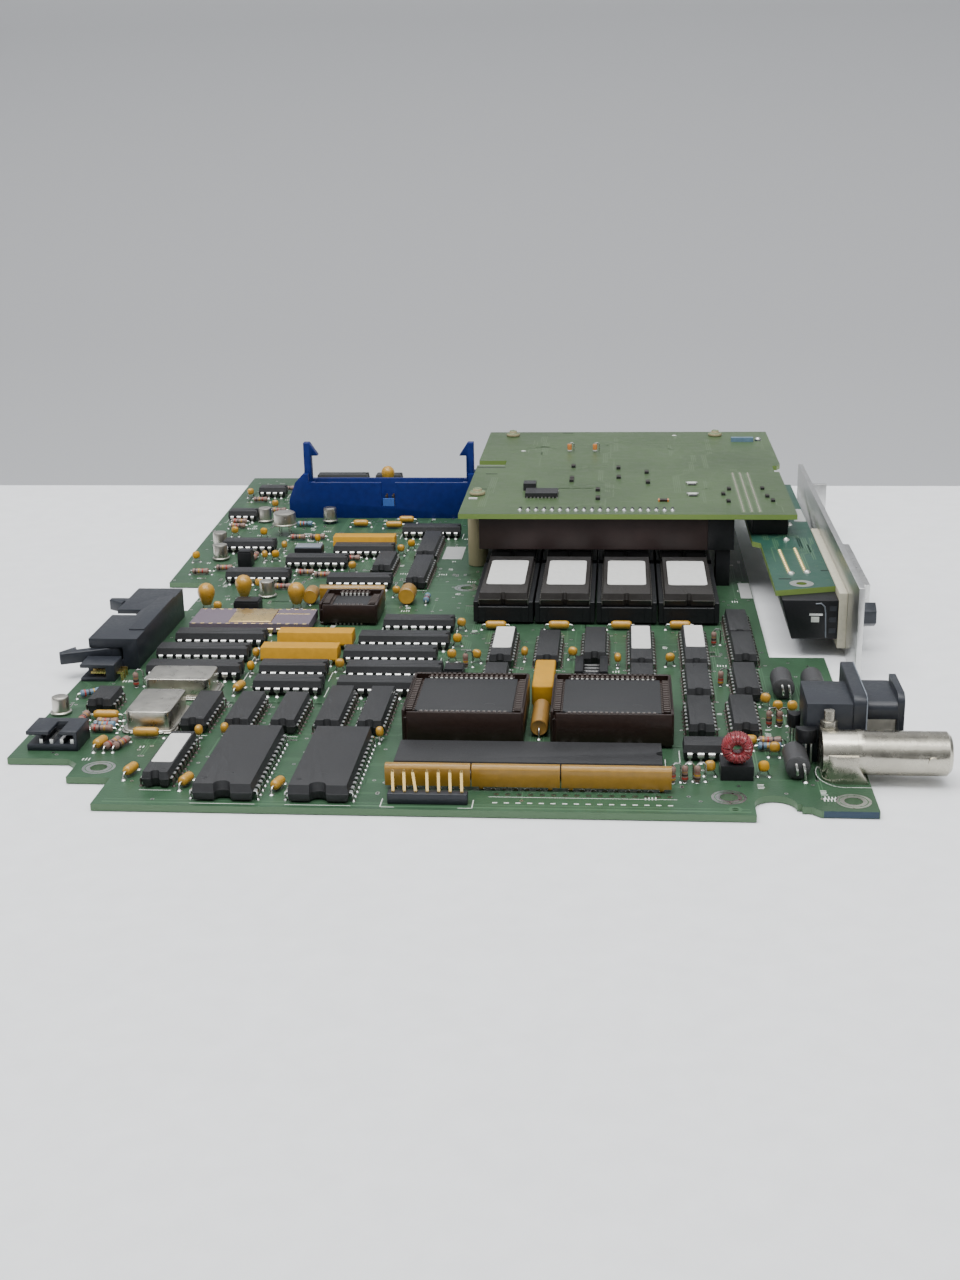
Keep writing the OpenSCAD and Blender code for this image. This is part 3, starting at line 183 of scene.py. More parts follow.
def laminate(name, face, edge, rough=0.38):
    """Solder mask on the broad faces, bare fibre on the cut edges."""
    m = material(name, face, rough, spread=0.10, grain=260, bump=0.25, bump_scale=1400, spec=0.28,
                 big=28, big_spread=0.16)
    nt = m.node_tree
    b = nt.nodes["Principled BSDF"]
    mask = b.inputs["Base Color"].links[0].from_socket
    normal = add_node(nt, "NewGeometry").outputs["Normal"]
    upright = add_node(nt, "SeparateXYZ", {0: normal}).outputs["Z"]
    steep = add_node(nt, "Math", {0: upright}, operation="ABSOLUTE").outputs[0]
    is_face = add_node(nt, "Math", {0: steep, 1: 0.6}, operation="GREATER_THAN").outputs[0]
    mix = add_node(nt, "Mix", {"A": (*edge, 1), "Factor": is_face, "B": mask}, data_type="RGBA")
    nt.links.new(mix.outputs["Result"], b.inputs["Base Color"])
    return m


EPOXY = {"grain": 2200, "bump": 0.35, "bump_scale": 5200}
RESIN = {"spread": 0.10, "grain": 700, "bump": 0.2, "bump_scale": 1500}
PAPER = {"spread": 0.05, "grain": 600, "bump": 0.3, "bump_scale": 1800}
M = {
    # boards
    "main": laminate("main_laminate", (0.035, 0.081, 0.043), (0.085, 0.150, 0.082)),
    "mezz": laminate("mezzanine_laminate", (0.056, 0.093, 0.039), (0.18, 0.27, 0.075)),
    "iface": laminate("interface_laminate", (0.021, 0.072, 0.051), (0.20, 0.29, 0.075)),
    "post": laminate("post_nylon", (0.150, 0.190, 0.100), (0.38, 0.33, 0.20), 0.45),
    "trace": material("trace_green", (0.064, 0.136, 0.074), 0.36, spread=0.06, spec=0.3),
    "trace_mezz": material("trace_mezzanine", (0.088, 0.136, 0.066), 0.36, spread=0.06, spec=0.3),
    "pad": metal("pad_tin", (0.62, 0.63, 0.58), 0.36),
    "silk": material("silkscreen", (0.62, 0.64, 0.60), 0.6, spread=0.06),
    "hole": material("hole_dark", (0.012, 0.014, 0.012), 0.7, spread=0.1),
    "navy": material("navy_edge", (0.010, 0.034, 0.065), 0.4, spread=0.1),
    # chips and sockets
    "chip": material("chip_epoxy", (0.023, 0.0235, 0.025), 0.44, spread=0.16, spec=0.35,
                     big=60, big_spread=0.2, **EPOXY),
    "chip_pale": material("chip_epoxy_worn", (0.021, 0.0215, 0.023), 0.46, spread=0.14, spec=0.4, **EPOXY),
    "chip_brown": material("chip_brown", (0.022, 0.0190, 0.0175), 0.40, bump=0.3, bump_scale=3000, spec=0.4),
    "dimple": material("chip_dimple", (0.010, 0.010, 0.011), 0.3, spread=0.05),
    "ceramic": material("purple_ceramic", (0.132, 0.105, 0.134), 0.62, spread=0.10, grain=1600, bump=0.3),
    "lid": metal("gold_lid", (0.86, 0.64, 0.29), spread=0.08),
    "brown": material("socket_brown", (0.020, 0.0105, 0.008), 0.36, spread=0.15, grain=800, bump=0.15,
                      spec=0.35),
    # dark metal: the socket contacts' colour, and painted shade on the side tips of the square sockets and on
    # the legs and joints of end-on chip rows
    "dark_finger_and_shade": material("socket_finger_and_painted_shade", (0.080, 0.062, 0.055), 0.45, metal=0.2, spread=0.10),
    "paper": material("white_paper", (0.60, 0.60, 0.58), 0.75, **PAPER),
    "grey_paper": material("grey_paper", (0.36, 0.37, 0.36), 0.75, **PAPER),
    # leads, pins and wires
    "tin": metal("tinned_lead", (0.66, 0.66, 0.64), spread=0.10, grain=1400),
    # dimmer tin: the memory sockets' contacts, painted shade on the chip legs, and painted highlight lines on
    # the memory chips
    "tin_shade_and_highlight": metal("tinned_leg_shade_and_highlight", (0.34, 0.33, 0.31), 0.42, spread=0.10, grain=1400),
    "tip": material("contact_tip", (0.52, 0.52, 0.49), 0.35, metal=0.3, spread=0.08),
    "pin_dull": material("dull_pin", (0.24, 0.235, 0.19), 0.45, metal=0.2, spread=0.1),
    "solder": metal("solder", (0.52, 0.53, 0.52)),
    "gold": metal("gold", (0.78, 0.56, 0.22), 0.28, spread=0.08),
    "copper": metal("bare_wire", (0.60, 0.60, 0.57), 0.26, spread=0.08),
    "wire": material("enamelled_wire", (0.235, 0.028, 0.034), 0.28, spread=0.15, grain=600, coat=0.4),
    # resins of the small parts
    "amber": material("amber_epoxy", (0.44, 0.235, 0.026), 0.30, coat=0.2, **RESIN),
    "amber_bar": material("amber_bar", (0.30, 0.158, 0.015), 0.32, coat=0.15, **RESIN),
    "amber_pale": material("amber_network", (0.48, 0.245, 0.016), 0.45, spread=0.08, grain=600, bump=0.2,
                           spec=0.2),
    "mustard": material("mustard_barrel", (0.27, 0.148, 0.030), 0.38, grain=500, coat=0.2),
    "tan_cap": material("tan_capacitor", (0.30, 0.160, 0.034), 0.38, grain=500, coat=0.15),
    "carbon": material("resistor_tan", (0.235, 0.145, 0.118), 0.45, spread=0.14),
    "blue_film": material("resistor_blue", (0.12, 0.20, 0.28), 0.4, spread=0.10),
    "red": material("mark_red", (0.36, 0.03, 0.02), 0.4, spread=0.08),
    "mark_dark": material("mark_dark", (0.03, 0.02, 0.02), 0.4, spread=0.08),
    "orange": material("orange_glass", (0.55, 0.20, 0.05), 0.25, spread=0.1, coat=0.5),
    "ferrite": material("ferrite", (0.045, 0.045, 0.047), 0.45, spread=0.15, bump=0.3),
    # mouldings
    "black": material("black_plastic", (0.010, 0.0105, 0.012), 0.42, spread=0.15, grain=1200, bump=0.2,
                      spec=0.32),
    "slate": material("slate_plastic", (0.019, 0.022, 0.029), 0.38, bump=0.2, spec=0.4),
    # pale slate: one module's lid, the clip's thin hoop, and the painted highlight along the jack plate's
    # edge
    "pale_slate_and_highlight": material("slate_cover_and_highlight", (0.17, 0.19, 0.22), 0.45, spread=0.08),
    "umber": material("umber_plastic", (0.034, 0.022, 0.021), 0.42, spread=0.2, grain=120, spec=0.3),
    "blue": material("blue_plastic", (0.005, 0.016, 0.125), 0.38, spread=0.14, grain=500, bump=0.15,
                     spec=0.28),
    "blue_pale": material("blue_key", (0.045, 0.125, 0.42), 0.4, spread=0.08),
    "cream_plastic": material("cream_plastic", (0.52, 0.49, 0.38), 0.5, spread=0.08),
    "white": material("white_plastic", (0.72, 0.72, 0.70), 0.45, spread=0.04),
    # bare metal
    "can": metal("can_steel", (0.58, 0.56, 0.50), grain=350, bump=0.3, bump_scale=700, big=90,
                 big_spread=0.12),
    "steel": metal("bracket_steel", (0.67, 0.67, 0.66), 0.34, spread=0.08, grain=500, bump=0.15),
    "dark_steel": material("blackened_steel", (0.030, 0.034, 0.042), 0.34, metal=0.3, spread=0.15),
    "nickel": metal("nickel", (0.47, 0.445, 0.375), 0.27, spread=0.10, grain=300, bump=0.2,
                    bump_scale=600, big=60, big_spread=0.15),
}

BODY_OF = {n: b for b, ns in frame["record"]["behaviour"]["bodies"].items() for n in ns}


# ---------------------------------------------------------------- mesh building, in millimetres

def circle(r, n, x=0, y=0):
    turns = [2 * math.pi * i / n for i in range(n)]
    return [(x + r * math.cos(t), y + r * math.sin(t)) for t in turns]


def bridge(a, b, n):
    """Quads between two rings of n corners that start at a and at b."""
    return [(a + j, a + (j + 1) % n, b + (j + 1) % n, b + j) for j in range(n)]


def ring_faces(rings):
    """Faces between rings of corners; a ring of one corner is a pole."""
    f = []
    for a, b in zip(rings, rings[1:]):
        n = max(len(a), len(b))
        for i in range(n):
            j = (i + 1) % n
            if len(a) == 1 and len(b) > 1:
                f.append((a[0], b[j], b[i]))
            elif len(b) == 1 and len(a) > 1:
                f.append((a[i], a[j], b[0]))
            elif len(a) > 1:
                f.append((a[i], a[j], b[j], b[i]))
    return f


def mirrored(half):
    """Lathe profile with two like ends, from the points of its upper half."""
    return [(r, -z) for r, z in reversed(half)] + half


class Build:
    """Collects simple closed shapes in a main and other materials, and makes one piece of them."""

    def __init__(self, main):
        self.verts, self.faces, self.mats = [], [], []
        self.materials = [main]

    def add(self, verts, faces, mat=None, place=None):
        mat = mat or self.materials[0]
        if mat not in self.materials:
            self.materials.append(mat)
        n = len(self.verts)
        if place is not None:
            verts = [tuple(place @ Vector(p)) for p in verts]
        self.verts.extend(verts)
        self.faces.extend([tuple(i + n for i in f) for f in faces])
        self.mats.extend([self.materials.index(mat)] * len(faces))

    def prism(self, pts, z0, z1, mat=None, place=None):
        n = len(pts)
        v = [(x, y, z) for z in (z0, z1) for x, y in pts]
        self.add(v, [tuple(range(n - 1, -1, -1)), tuple(range(n, 2 * n))] + bridge(0, n, n), mat, place)

    def box(self, lo, hi, mat=None, place=None):
        (x0, y0, z0), (x1, y1, z1) = lo, hi
        self.prism([(x0, y0), (x1, y0), (x1, y1), (x0, y1)], z0, z1, mat, place)

    def block(self, x, y, half_x, half_y, z0, z1, mat=None, place=None):
        """Box centred on x, y."""
        self.box((x - half_x, y - half_y, z0), (x + half_x, y + half_y, z1), mat, place)

    def bar(self, profile, x0, x1, mat=None):
        """A (y, z) outline drawn out along X, closed at both ends."""
        n = len(profile)
        v = [(x, y, z) for x in (x0, x1) for y, z in profile]
        sides = [tuple(reversed(q)) for q in bridge(0, n, n)]
        self.add(v, sides + [tuple(range(n)), tuple(range(2 * n - 1, n - 1, -1))], mat)

    def annulus(self, x, y, z, r0, r1, n, mat=None):
        v = [(px, py, z) for r in (r0, r1) for px, py in circle(r, n, x, y)]
        self.add(v, [(i, n + i, n + (i + 1) % n, (i + 1) % n) for i in range(n)], mat)

    def disc(self, x, y, z, r, n, mat=None):
        self.add([(px, py, z) for px, py in circle(r, n, x, y)], [tuple(range(n))], mat)

    def lathe(self, profile, n, mat=None, place=None):
        """Turns (radius, height) points round the Z axis; ends at radius 0 are closed."""
        v, rings = [], []
        for r, z in profile:
            ring = [(0, 0)] if r < 1e-6 else circle(r, n)
            rings.append(list(range(len(v), len(v) + len(ring))))
            v += [(x, y, z) for x, y in ring]
        self.add(v, ring_faces(rings), mat, place)

    def tube(self, path, r, n, mat=None, closed=False):
        """Round wire along a polyline."""
        pts = [Vector(p) for p in path]
        k = len(pts)
        v = []
        side = None
        for i, p in enumerate(pts):
            before = pts[(i - 1) % k] if closed or i else p
            after = pts[(i + 1) % k] if closed or i < k - 1 else p
            d = (after - before).normalized()
            if side is None:
                side = d.orthogonal().normalized()
            side = (side - d * side.dot(d)).normalized()
            up = d.cross(side)
            v += [tuple(p + (side * c + up * s) * r) for c, s in circle(1, n)]
        f = []
        for i in range(k if closed else k - 1):
            f += bridge(i * n, ((i + 1) % k) * n, n)
        if not closed:
            f += [tuple(range(n - 1, -1, -1)), tuple(range((k - 1) * n, k * n))]
        self.add(v, f, mat)

    def strip(self, points, width, z, mat=None):
        """Flat line of a given width on a board."""
        for (x0, y0), (x1, y1) in zip(points, points[1:]):
            dx, dy = x1 - x0, y1 - y0
            run = math.hypot(dx, dy)
            if run < 1e-6:
                continue
            nx, ny = -dy / run * width / 2, dx / run * width / 2
            ex, ey = dx / run * width / 2, dy / run * width / 2
            self.add([(x0 - ex + nx, y0 - ey + ny, z), (x0 - ex - nx, y0 - ey - ny, z),
                      (x1 + ex - nx, y1 + ey - ny, z), (x1 + ex + nx, y1 + ey + ny, z)], [(0, 1, 2, 3)], mat)

    def via(self, x, y, z, ring_r, ring_mat, hole_r=0.22, lift=0.002):
        """Ring of copper round a small dark hole."""
        self.annulus(x, y, z + lift, 0.2, ring_r, 10, ring_mat)
        self.disc(x, y, z, hole_r, 8, "hole")

    def joint(self, x, y, z, steps, n, mat=None):
        """Cone of solder on a board, from (radius, height) steps."""
        self.lathe(steps, n, mat, at(x, y, z))

    def make(self, name, replaces=None, bevel=0.0, segments=2, angle=35, smooth=True):
        me = bpy.data.meshes.new(name)
        me.from_pydata([(x * MM, y * MM, z * MM) for x, y, z in self.verts], [], self.faces)
        for mat in self.materials:
            me.materials.append(M[mat])
        me.polygons.foreach_set("material_index", self.mats)
        me.update()
        return finish_mesh(me, name, ROOT, replaces, bevel, segments, angle, smooth)


def finish_mesh(me, name, body, node, bevel, segments, angle, smooth=True):
    """Rounds the edges of a mesh, and lets the piece ride on its body and stand for its CAD node."""
    o = put_in_scene(name, me)
    if bevel:
        b = o.modifiers.new("bevel", "BEVEL")
        b.width = bevel * MM
        b.segments = segments
        b.limit_method = "ANGLE"
        b.angle_limit = math.radians(angle)
        b.use_clamp_overlap = True
        rounded = bpy.data.meshes.new_from_object(o.evaluated_get(bpy.context.evaluated_depsgraph_get()))
        o.modifiers.clear()
        o.data = rounded
        rounded.name = name
    if smooth:
        o.data.shade_smooth()
        o.data.set_sharp_from_angle(angle=math.radians(angle))
    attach(o, body)
    if node:
        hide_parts(node)
    return o


def dress(node, mat, bevel=0.2, segments=2, angle=35):
    """A copy of a CAD node with small rounded edges and a material, in place of the node."""
    bm = bmesh.new()
    bm.from_mesh(frame["nodes"][node].data)
    bmesh.ops.remove_doubles(bm, verts=bm.verts, dist=1e-6)
    bmesh.ops.dissolve_limit(bm, angle_limit=math.radians(0.5), verts=bm.verts, edges=bm.edges)
    me = bpy.data.meshes.new(node + "_shown")
    bm.to_mesh(me)
    bm.free()
    me.materials.clear()
    me.materials.append(M[mat])
    me.polygons.foreach_set("material_index", [0] * len(me.polygons))
    finish_mesh(me, node + "_shown", BODY_OF[node], node, bevel, segments, angle)


def paint(node, mat):
    me = frame["nodes"][node].data
    if not me.materials:
        me.materials.append(M[mat])
    for i in range(len(me.materials)):
        me.materials[i] = M[mat]


def spread(n, step=PITCH):
    """Places of n things in an even row about 0."""
    return [(i - (n - 1) / 2) * step for i in range(n)]


class Span:
    """The box round one solid: its low and high corner, its centre and its lengths."""

    def __init__(self, lo, hi):
        self.lo, self.hi = lo, hi
        self.x0, self.y0, self.z0 = lo
        self.x1, self.y1, self.z1 = hi
        self.x, self.y, self.z = [(a + b) / 2 for a, b in zip(lo, hi)]
        self.lx, self.ly, self.lz = [b - a for a, b in zip(lo, hi)]


def solids(node):
    """Spans of the separate solids of a node, in millimetres."""
    me = frame["nodes"][node].data
    co = np.empty(len(me.vertices) * 3)
    me.vertices.foreach_get("co", co)
    co = co.reshape(-1, 3) / MM
    key = {}
    ids = [key.setdefault(tuple(k), len(key)) for k in np.round(co, 3).tolist()]
    parent = list(range(len(key)))

    def root_of(a):
        while parent[a] != a:
            parent[a] = parent[parent[a]]
            a = parent[a]
        return a
    for p in me.polygons:
        corners = [ids[i] for i in p.vertices]
        for corner in corners[1:]:
            ra, rb = root_of(corners[0]), root_of(corner)
            if ra != rb:
                parent[ra] = rb
    ends = {}
    for point, i in zip(co.tolist(), ids):
        lo, hi = ends.setdefault(root_of(i), ([1e9] * 3, [-1e9] * 3))
        for k in range(3):
            lo[k] = min(lo[k], point[k])
            hi[k] = max(hi[k], point[k])
    return [Span(*pair) for pair in sorted((tuple(lo), tuple(hi)) for lo, hi in ends.values())]


SOLIDS = {n: solids(n) for n in frame["nodes"]}


# ---------------------------------------------------------------- leads and solder

LEG_W = 0.5


def lead(b, place, row, body_w, z_mid, wide=1.5, thick=0.25, low="tin_shade_and_highlight", bend=5):
    """Formed lead in the local YZ plane: a wide bright shoulder out of the body, a narrow leg below, by
    default in a darker tin that is painted shade.
    """
    r = row / 2
    shoulder = [(body_w / 2 - 0.1, z_mid), (r - 0.42, z_mid), (r - 0.14, z_mid - 0.1), (r, z_mid - 0.4),
                (r, z_mid - 0.95)]
    leg = shoulder[bend - 1:] + [(r, z_mid - 1.2), (r, 0.0)]
    leg_widths = [wide] * (6 - bend) + [LEG_W] * 2
    for path, widths, mat in ((shoulder[:bend], [wide] * bend, None), (leg, leg_widths, low)):
        v, f = [], []
        last = len(path) - 1
        for i, ((y, z), w) in enumerate(zip(path, widths)):
            a = path[max(i - 1, 0)]
            c = path[min(i + 1, last)]
            d = math.hypot(c[0] - a[0], c[1] - a[1])
            ny, nz = -(c[1] - a[1]) / d * thick / 2, (c[0] - a[0]) / d * thick / 2
            v += [(-w / 2, y - ny, z - nz), (w / 2, y - ny, z - nz), (w / 2, y + ny, z + nz),
                  (-w / 2, y + ny, z + nz)]
        for i in range(last):
            f += bridge(4 * i, 4 * i + 4, 4)
        f += [(3, 2, 1, 0), tuple(4 * last + j for j in range(4))]
        b.add(v, f, mat, place)


def solder_dot(b, x, y, r=0.8, h=0.45, mat="solder"):
    b.joint(x, y, 0.01, [(r, 0.0), (r * 0.8, h * 0.35), (r * 0.5, h * 0.8), (0.0, h)], 10, mat)


# places of the soldered leads, for the pads on the underside
LEAD_SPOTS = []


def soldered(b, x, y, r, h, mat="solder"):
    """Joint on the board's top that also shows underneath."""
    solder_dot(b, x, y, r, h, mat)
    LEAD_SPOTS.append((x, y))


def bent_wire(b, place, side, reach, z, r, n):
    """Wire out of one end of a lying body, bent down to the board; gives the place of its foot."""
    start, bend, down, drop = reach
    route = ((start, z), (bend, z), (down, z - drop), (down, 0))
    pts = [place @ Vector((side * x, 0, height)) for x, height in route]
    b.tube(pts, r, n, "copper")
    return pts[-1]


# ---------------------------------------------------------------- lights and floor

def area(name, where, look, size_xy, power):
    data = bpy.data.lights.new(name, "AREA")
    data.shape = "RECTANGLE"
    data.size, data.size_y = size_xy
    data.energy = power
    o = put_in_scene(name, data)
    o.location = where
    o.rotation_euler = (Vector(look) - Vector(where)).to_track_quat("-Z", "Y").to_euler()


def wall_with_painted_light():
    """Backdrop with painted light: palest where it meets the floor, darker higher up."""
    m, nt, b = node_material("back_wall_painted_light")
    place = add_node(nt, "TexCoord").outputs["Object"]
    height = add_node(nt, "SeparateXYZ", {0: place}).outputs["Z"]
    rise = add_node(nt, "MapRange", {"Value": height, "From Min": -0.1, "From Max": 0.2}).outputs["Result"]
    # painted light: the wall's colour runs from pale near the floor to darker higher up
    stops = [(0.0, (0.88, 0.89, 0.915)), (0.34, (0.70, 0.705, 0.73)), (1.0, (0.39, 0.395, 0.41))]
    fill_inputs(nt, b, {"Base Color": colour_ramp(nt, rise, stops), "Roughness": 0.9,
                        "Specular IOR Level": 0.1})
    return m


def backdrop(name, corners, mat):
    me = bpy.data.meshes.new(name)
    me.from_pydata(corners, [], [(0, 1, 2, 3)])
    me.materials.append(mat)
    put_in_scene(name, me)


def stage():
    z = cad_lo.z - 0.0002
    foam = material("foam_floor", (0.84, 0.85, 0.865), 0.85, spread=0.025, grain=160, bump=0.5,
                    bump_scale=260, spec=0.2)
    backdrop("floor", [(-1.5, -0.9, z), (1.7, -0.9, z), (1.7, 0.31, z), (-1.5, 0.31, z)], foam)
    y = 0.75
    backdrop("wall", [(-2.5, y, -0.8), (2.9, y, -0.8), (2.9, y, 2.2), (-2.5, y, 2.2)], wall_with_painted_light())
    world = bpy.data.worlds.new("world")
    bpy.context.scene.world = world
    world.use_nodes = True
    nt = world.node_tree
    direction = add_node(nt, "TexCoord").outputs["Generated"]
    height = add_node(nt, "SeparateXYZ", {0: direction}).outputs["Z"]
    stops = [(0.0, (0.10, 0.105, 0.11)), (0.16, (0.16, 0.165, 0.175)), (0.62, (0.95, 0.98, 1.0))]
    fill_inputs(nt, nt.nodes["Background"], {"Color": colour_ramp(nt, height, stops), "Strength": 0.85})
    area("key", (-0.15, 0.18, 1.15), (0.08, 0.15, 0), (1.3, 1.0), 14)
    area("fill", (0.6, -0.45, 0.9), (0.08, 0.12, 0), (0.8, 0.8), 2.5)
    area("wash", (0.1, -0.35, 1.3), (0.1, 0.9, 0.25), (1.6, 0.5), 16)


make_camera()
stage()

# ---------------------------------------------------------------- printed boards

def hit_tester(node):
    """Says whether a point, and a cross of points r away from it, lie on a board."""
    me = frame["nodes"][node].data
    tree = BVHTree.FromPolygons([v.co[:] for v in me.vertices], [p.vertices[:] for p in me.polygons])
    down = Vector((0, 0, -1))

    def inside(x, y, r):
        cross = ((0, 0), (r, 0), (-r, 0), (0, r), (0, -r))
        return all(tree.ray_cast(Vector(((x + dx) * MM, (y + dy) * MM, 0.1)), down)[0] for dx, dy in cross)
    return inside


ON_MAIN = hit_tester("main_board")
ON_MEZZ = hit_tester("mezzanine_board")
ON_IFACE = hit_tester("interface_board")
NOT_ON_BOARD = {"mezzanine_board", "interface_board", "interface_connector", "rear_bracket", "main_board",
                "gpib_housing", "gpib_flange", "gpib_shell", "jackscrews", "gpib_contact_block",
                "rom_labels", "ceramic_lid", "mezzanine_posts"}
# what starts below this height stands on the main board
SEATED = 2.5
FOOTPRINTS = [s for n, spans in SOLIDS.items() if n not in NOT_ON_BOARD for s in spans if s.z0 < SEATED]
TRACE_STEP = 0.64
UNDERSIDE = -1.61


def free_of_parts(x, y, margin):
    return not any(s.x0 - margin < x < s.x1 + margin and s.y0 - margin < y < s.y1 + margin
                   for s in FOOTPRINTS)


def on_grid(r, span):
    return round(r.uniform(*span) / HALF_PITCH) * HALF_PITCH


def trace_paths(count, x_range, y_range, inside, seed, long=34):
    """Seeded runs of copper: straight, a 45 degree jog, straight again, often in parallel groups."""
    r = random.Random(seed)
    out = []
    tries = 0
    while len(out) < count and tries < count * 6:
        tries += 1
        x, y = on_grid(r, x_range), on_grid(r, y_range)
        along = r.random() < 0.5
        first = r.uniform(4, long)
        jog = r.choice([-1, 1]) * HALF_PITCH * r.randint(1, 3)
        last = r.uniform(3, long)
        bend = first + abs(jog)
        route = ((0, 0), (first, 0), (bend, jog), (bend + last, jog))
        for k in range(r.choice([1, 1, 2, 3, 4])):
            o = k * TRACE_STEP
            pts = [(x + run, y + o + off) if along else (x + o + off, y + run) for run, off in route]
            if all(inside(px, py, 0.6) for px, py in pts):
                out.append(pts)
    return out


MAIN_X = (-28, 175)
MAIN_Y = (-18, 312)
FRONT_EDGE = -18
MOUNTING_HOLES = ((0, 0), (146, -11.5), (173, -12.5), (73, 153))
TOOLING_HOLE = (147, -18)
# marks and pads in front of the resistor bars
BAR_MARKS = [94.5 + i * 2.57 for i in range(16)]


def main_board_surface():
    b = Build("trace")
    traces = trace_paths(620, MAIN_X, MAIN_Y, ON_MAIN, 3)
    for pts in traces:
        b.strip(pts, 0.26, 0.012)
    for pts in traces:
        for x, y in (pts[0], pts[-1]):
            if free_of_parts(x, y, 0.5):
                b.via(x, y, 0.02, 0.5, "pad")
    r = random.Random(5)
    for i in range(900):
        x, y = on_grid(r, MAIN_X), on_grid(r, MAIN_Y)
        if ON_MAIN(x, y, 0.8) and free_of_parts(x, y, 0.5):
            b.via(x, y, 0.02, 0.48, r.choice(["pad", "pad", "solder"]), lift=0.004)
    # bright rings round the mounting holes, the upper ones with a thin green line in them
    for x, y in MOUNTING_HOLES:
        b.annulus(x, y, 0.03, 2.02, 3.9, 40, "solder")
        b.annulus(x, y, 0.034, 3.0, 3.25, 40)
        b.annulus(x, y, UNDERSIDE, 2.02, 3.9, 40, "pad")
    b.annulus(*TOOLING_HOLE, 0.03, 0.82, 1.5, 28)
    # earth band along the front edge
    b.strip([(7, -17.9), (150, -17.9)], 0.35, 0.013)
    b.strip([(7, -19.4), (150, -19.4)], 0.7, 0.013)
    for x in BAR_MARKS:
        b.annulus(x, -11.9, 0.03, 0.2, 0.62, 12, "solder")
    # dark stretch of the front edge at the right corner
    b.box((166, FRONT_EDGE - 0.02, -1.55), (177.8, FRONT_EDGE + 0.1, -0.05), "navy")
    b.make("board_copper", smooth=False)


def underside_surface():
    b = Build("trace")
    for pts in trace_paths(420, MAIN_X, MAIN_Y, ON_MAIN, 9, 46):
        b.strip(pts[::-1], 0.28, UNDERSIDE + 0.003)
    for x, y in LEAD_SPOTS:
        b.annulus(x, y, UNDERSIDE - 0.002, 0.28, 0.75, 10, "pad")
        b.disc(x, y, UNDERSIDE - 0.001, 0.3, 8, "hole")
    o = b.make("underside_copper", smooth=False)
    bm = bmesh.new()
    bm.from_mesh(o.data)
    for f in bm.faces:
        if f.normal.z > 0:
            f.normal_flip()
    bm.to_mesh(o.data)
    bm.free()


SILK = 0.03
SILK_W = 0.22


def part_marks(b):
    """Short neutral dashes where the board carries its part marks."""
    r = random.Random(21)
    for i in range(430):
        x, y = r.uniform(-26, 174), r.uniform(-17, 308)
        if ON_MAIN(x, y, 2.2) and free_of_parts(x, y, 1.2) and free_of_parts(x + 1.6, y, 0.8):
            sideways = r.random() < 0.5
            for k in range(r.randint(2, 4)):
                step = k * 0.75
                if sideways:
                    b.strip([(x, y + step), (x + r.uniform(0.8, 1.3), y + step)], 0.3, SILK)
                else:
                    b.strip([(x + step, y), (x + step, y + r.uniform(0.9, 1.5))], 0.3, SILK)


def silkscreen():
    b = Build("silk")
    for x in BAR_MARKS:
        b.strip([(x - 0.3, -16.6), (x + 0.3, -16.6)], 0.5, SILK)
    b.strip([(93, -13.4), (134.5, -13.4)], 0.18, SILK)
    # a line past each end of a chip
    for node in ("logic_chips_front", "logic_chips_left", "logic_chips_rear", "memory_chips", "processor"):
        for s in SOLIDS[node]:
            if s.lx > s.ly:
                for x in (s.x0 - 0.7, s.x1 + 0.7):
                    b.strip([(x, s.y0 - 0.4), (x, s.y1 + 0.4)], SILK_W, SILK)
            else:
                for y in (s.y0 - 0.7, s.y1 + 0.7):
                    b.strip([(s.x0 - 0.4, y), (s.x1 + 0.4, y)], SILK_W, SILK)
    # corner brackets round the test header
    for x, inwards in ((69.4, 3), (89.7, -3)):
        b.strip([(x, -15.4), (x, -19.9), (x + inwards, -19.9)], SILK_W, SILK)
    # curve round the coaxial connector's foot
    angles = [math.radians(t) for t in range(150, 281, 10)]
    arc = [(172.4 + 6.2 * math.cos(t) * 0.95, 3 + 8.0 * math.sin(t)) for t in angles]
    b.strip(arc + [(178, -4.9)], SILK_W, SILK)
    part_marks(b)
    b.make("board_silkscreen", smooth=False)


def chip_part(b, x, y, z, lx, ly, mat, ends="pad", h=0.6):
    """Surface part with a bright cap on each end of its longer side."""
    b.block(x, y, lx / 2, ly / 2, z, z + h, mat)
    for s in (-1, 1):
        if lx > ly:
            b.block(x + s * lx / 2, y, 0.25, ly / 2 + 0.02, z, z + h + 0.02, ends)
        else:
            b.block(x, y + s * ly / 2, lx / 2 + 0.02, 0.25, z, z + h + 0.02, ends)


MEZZ_DARK = ((105.1, 225.1), (105.1, 205.3), (105.1, 201.8), (121, 222.4), (121.1, 206.9), (114.2, 187.6),
             (114.4, 175.1), (130.8, 215.1), (131, 199.1))
MEZZ_SMALL = ((155.3, 181.6), (156.4, 171.4), (157.6, 189.0), (169.3, 178.6), (170.6, 172.4), (168.6, 190.0))


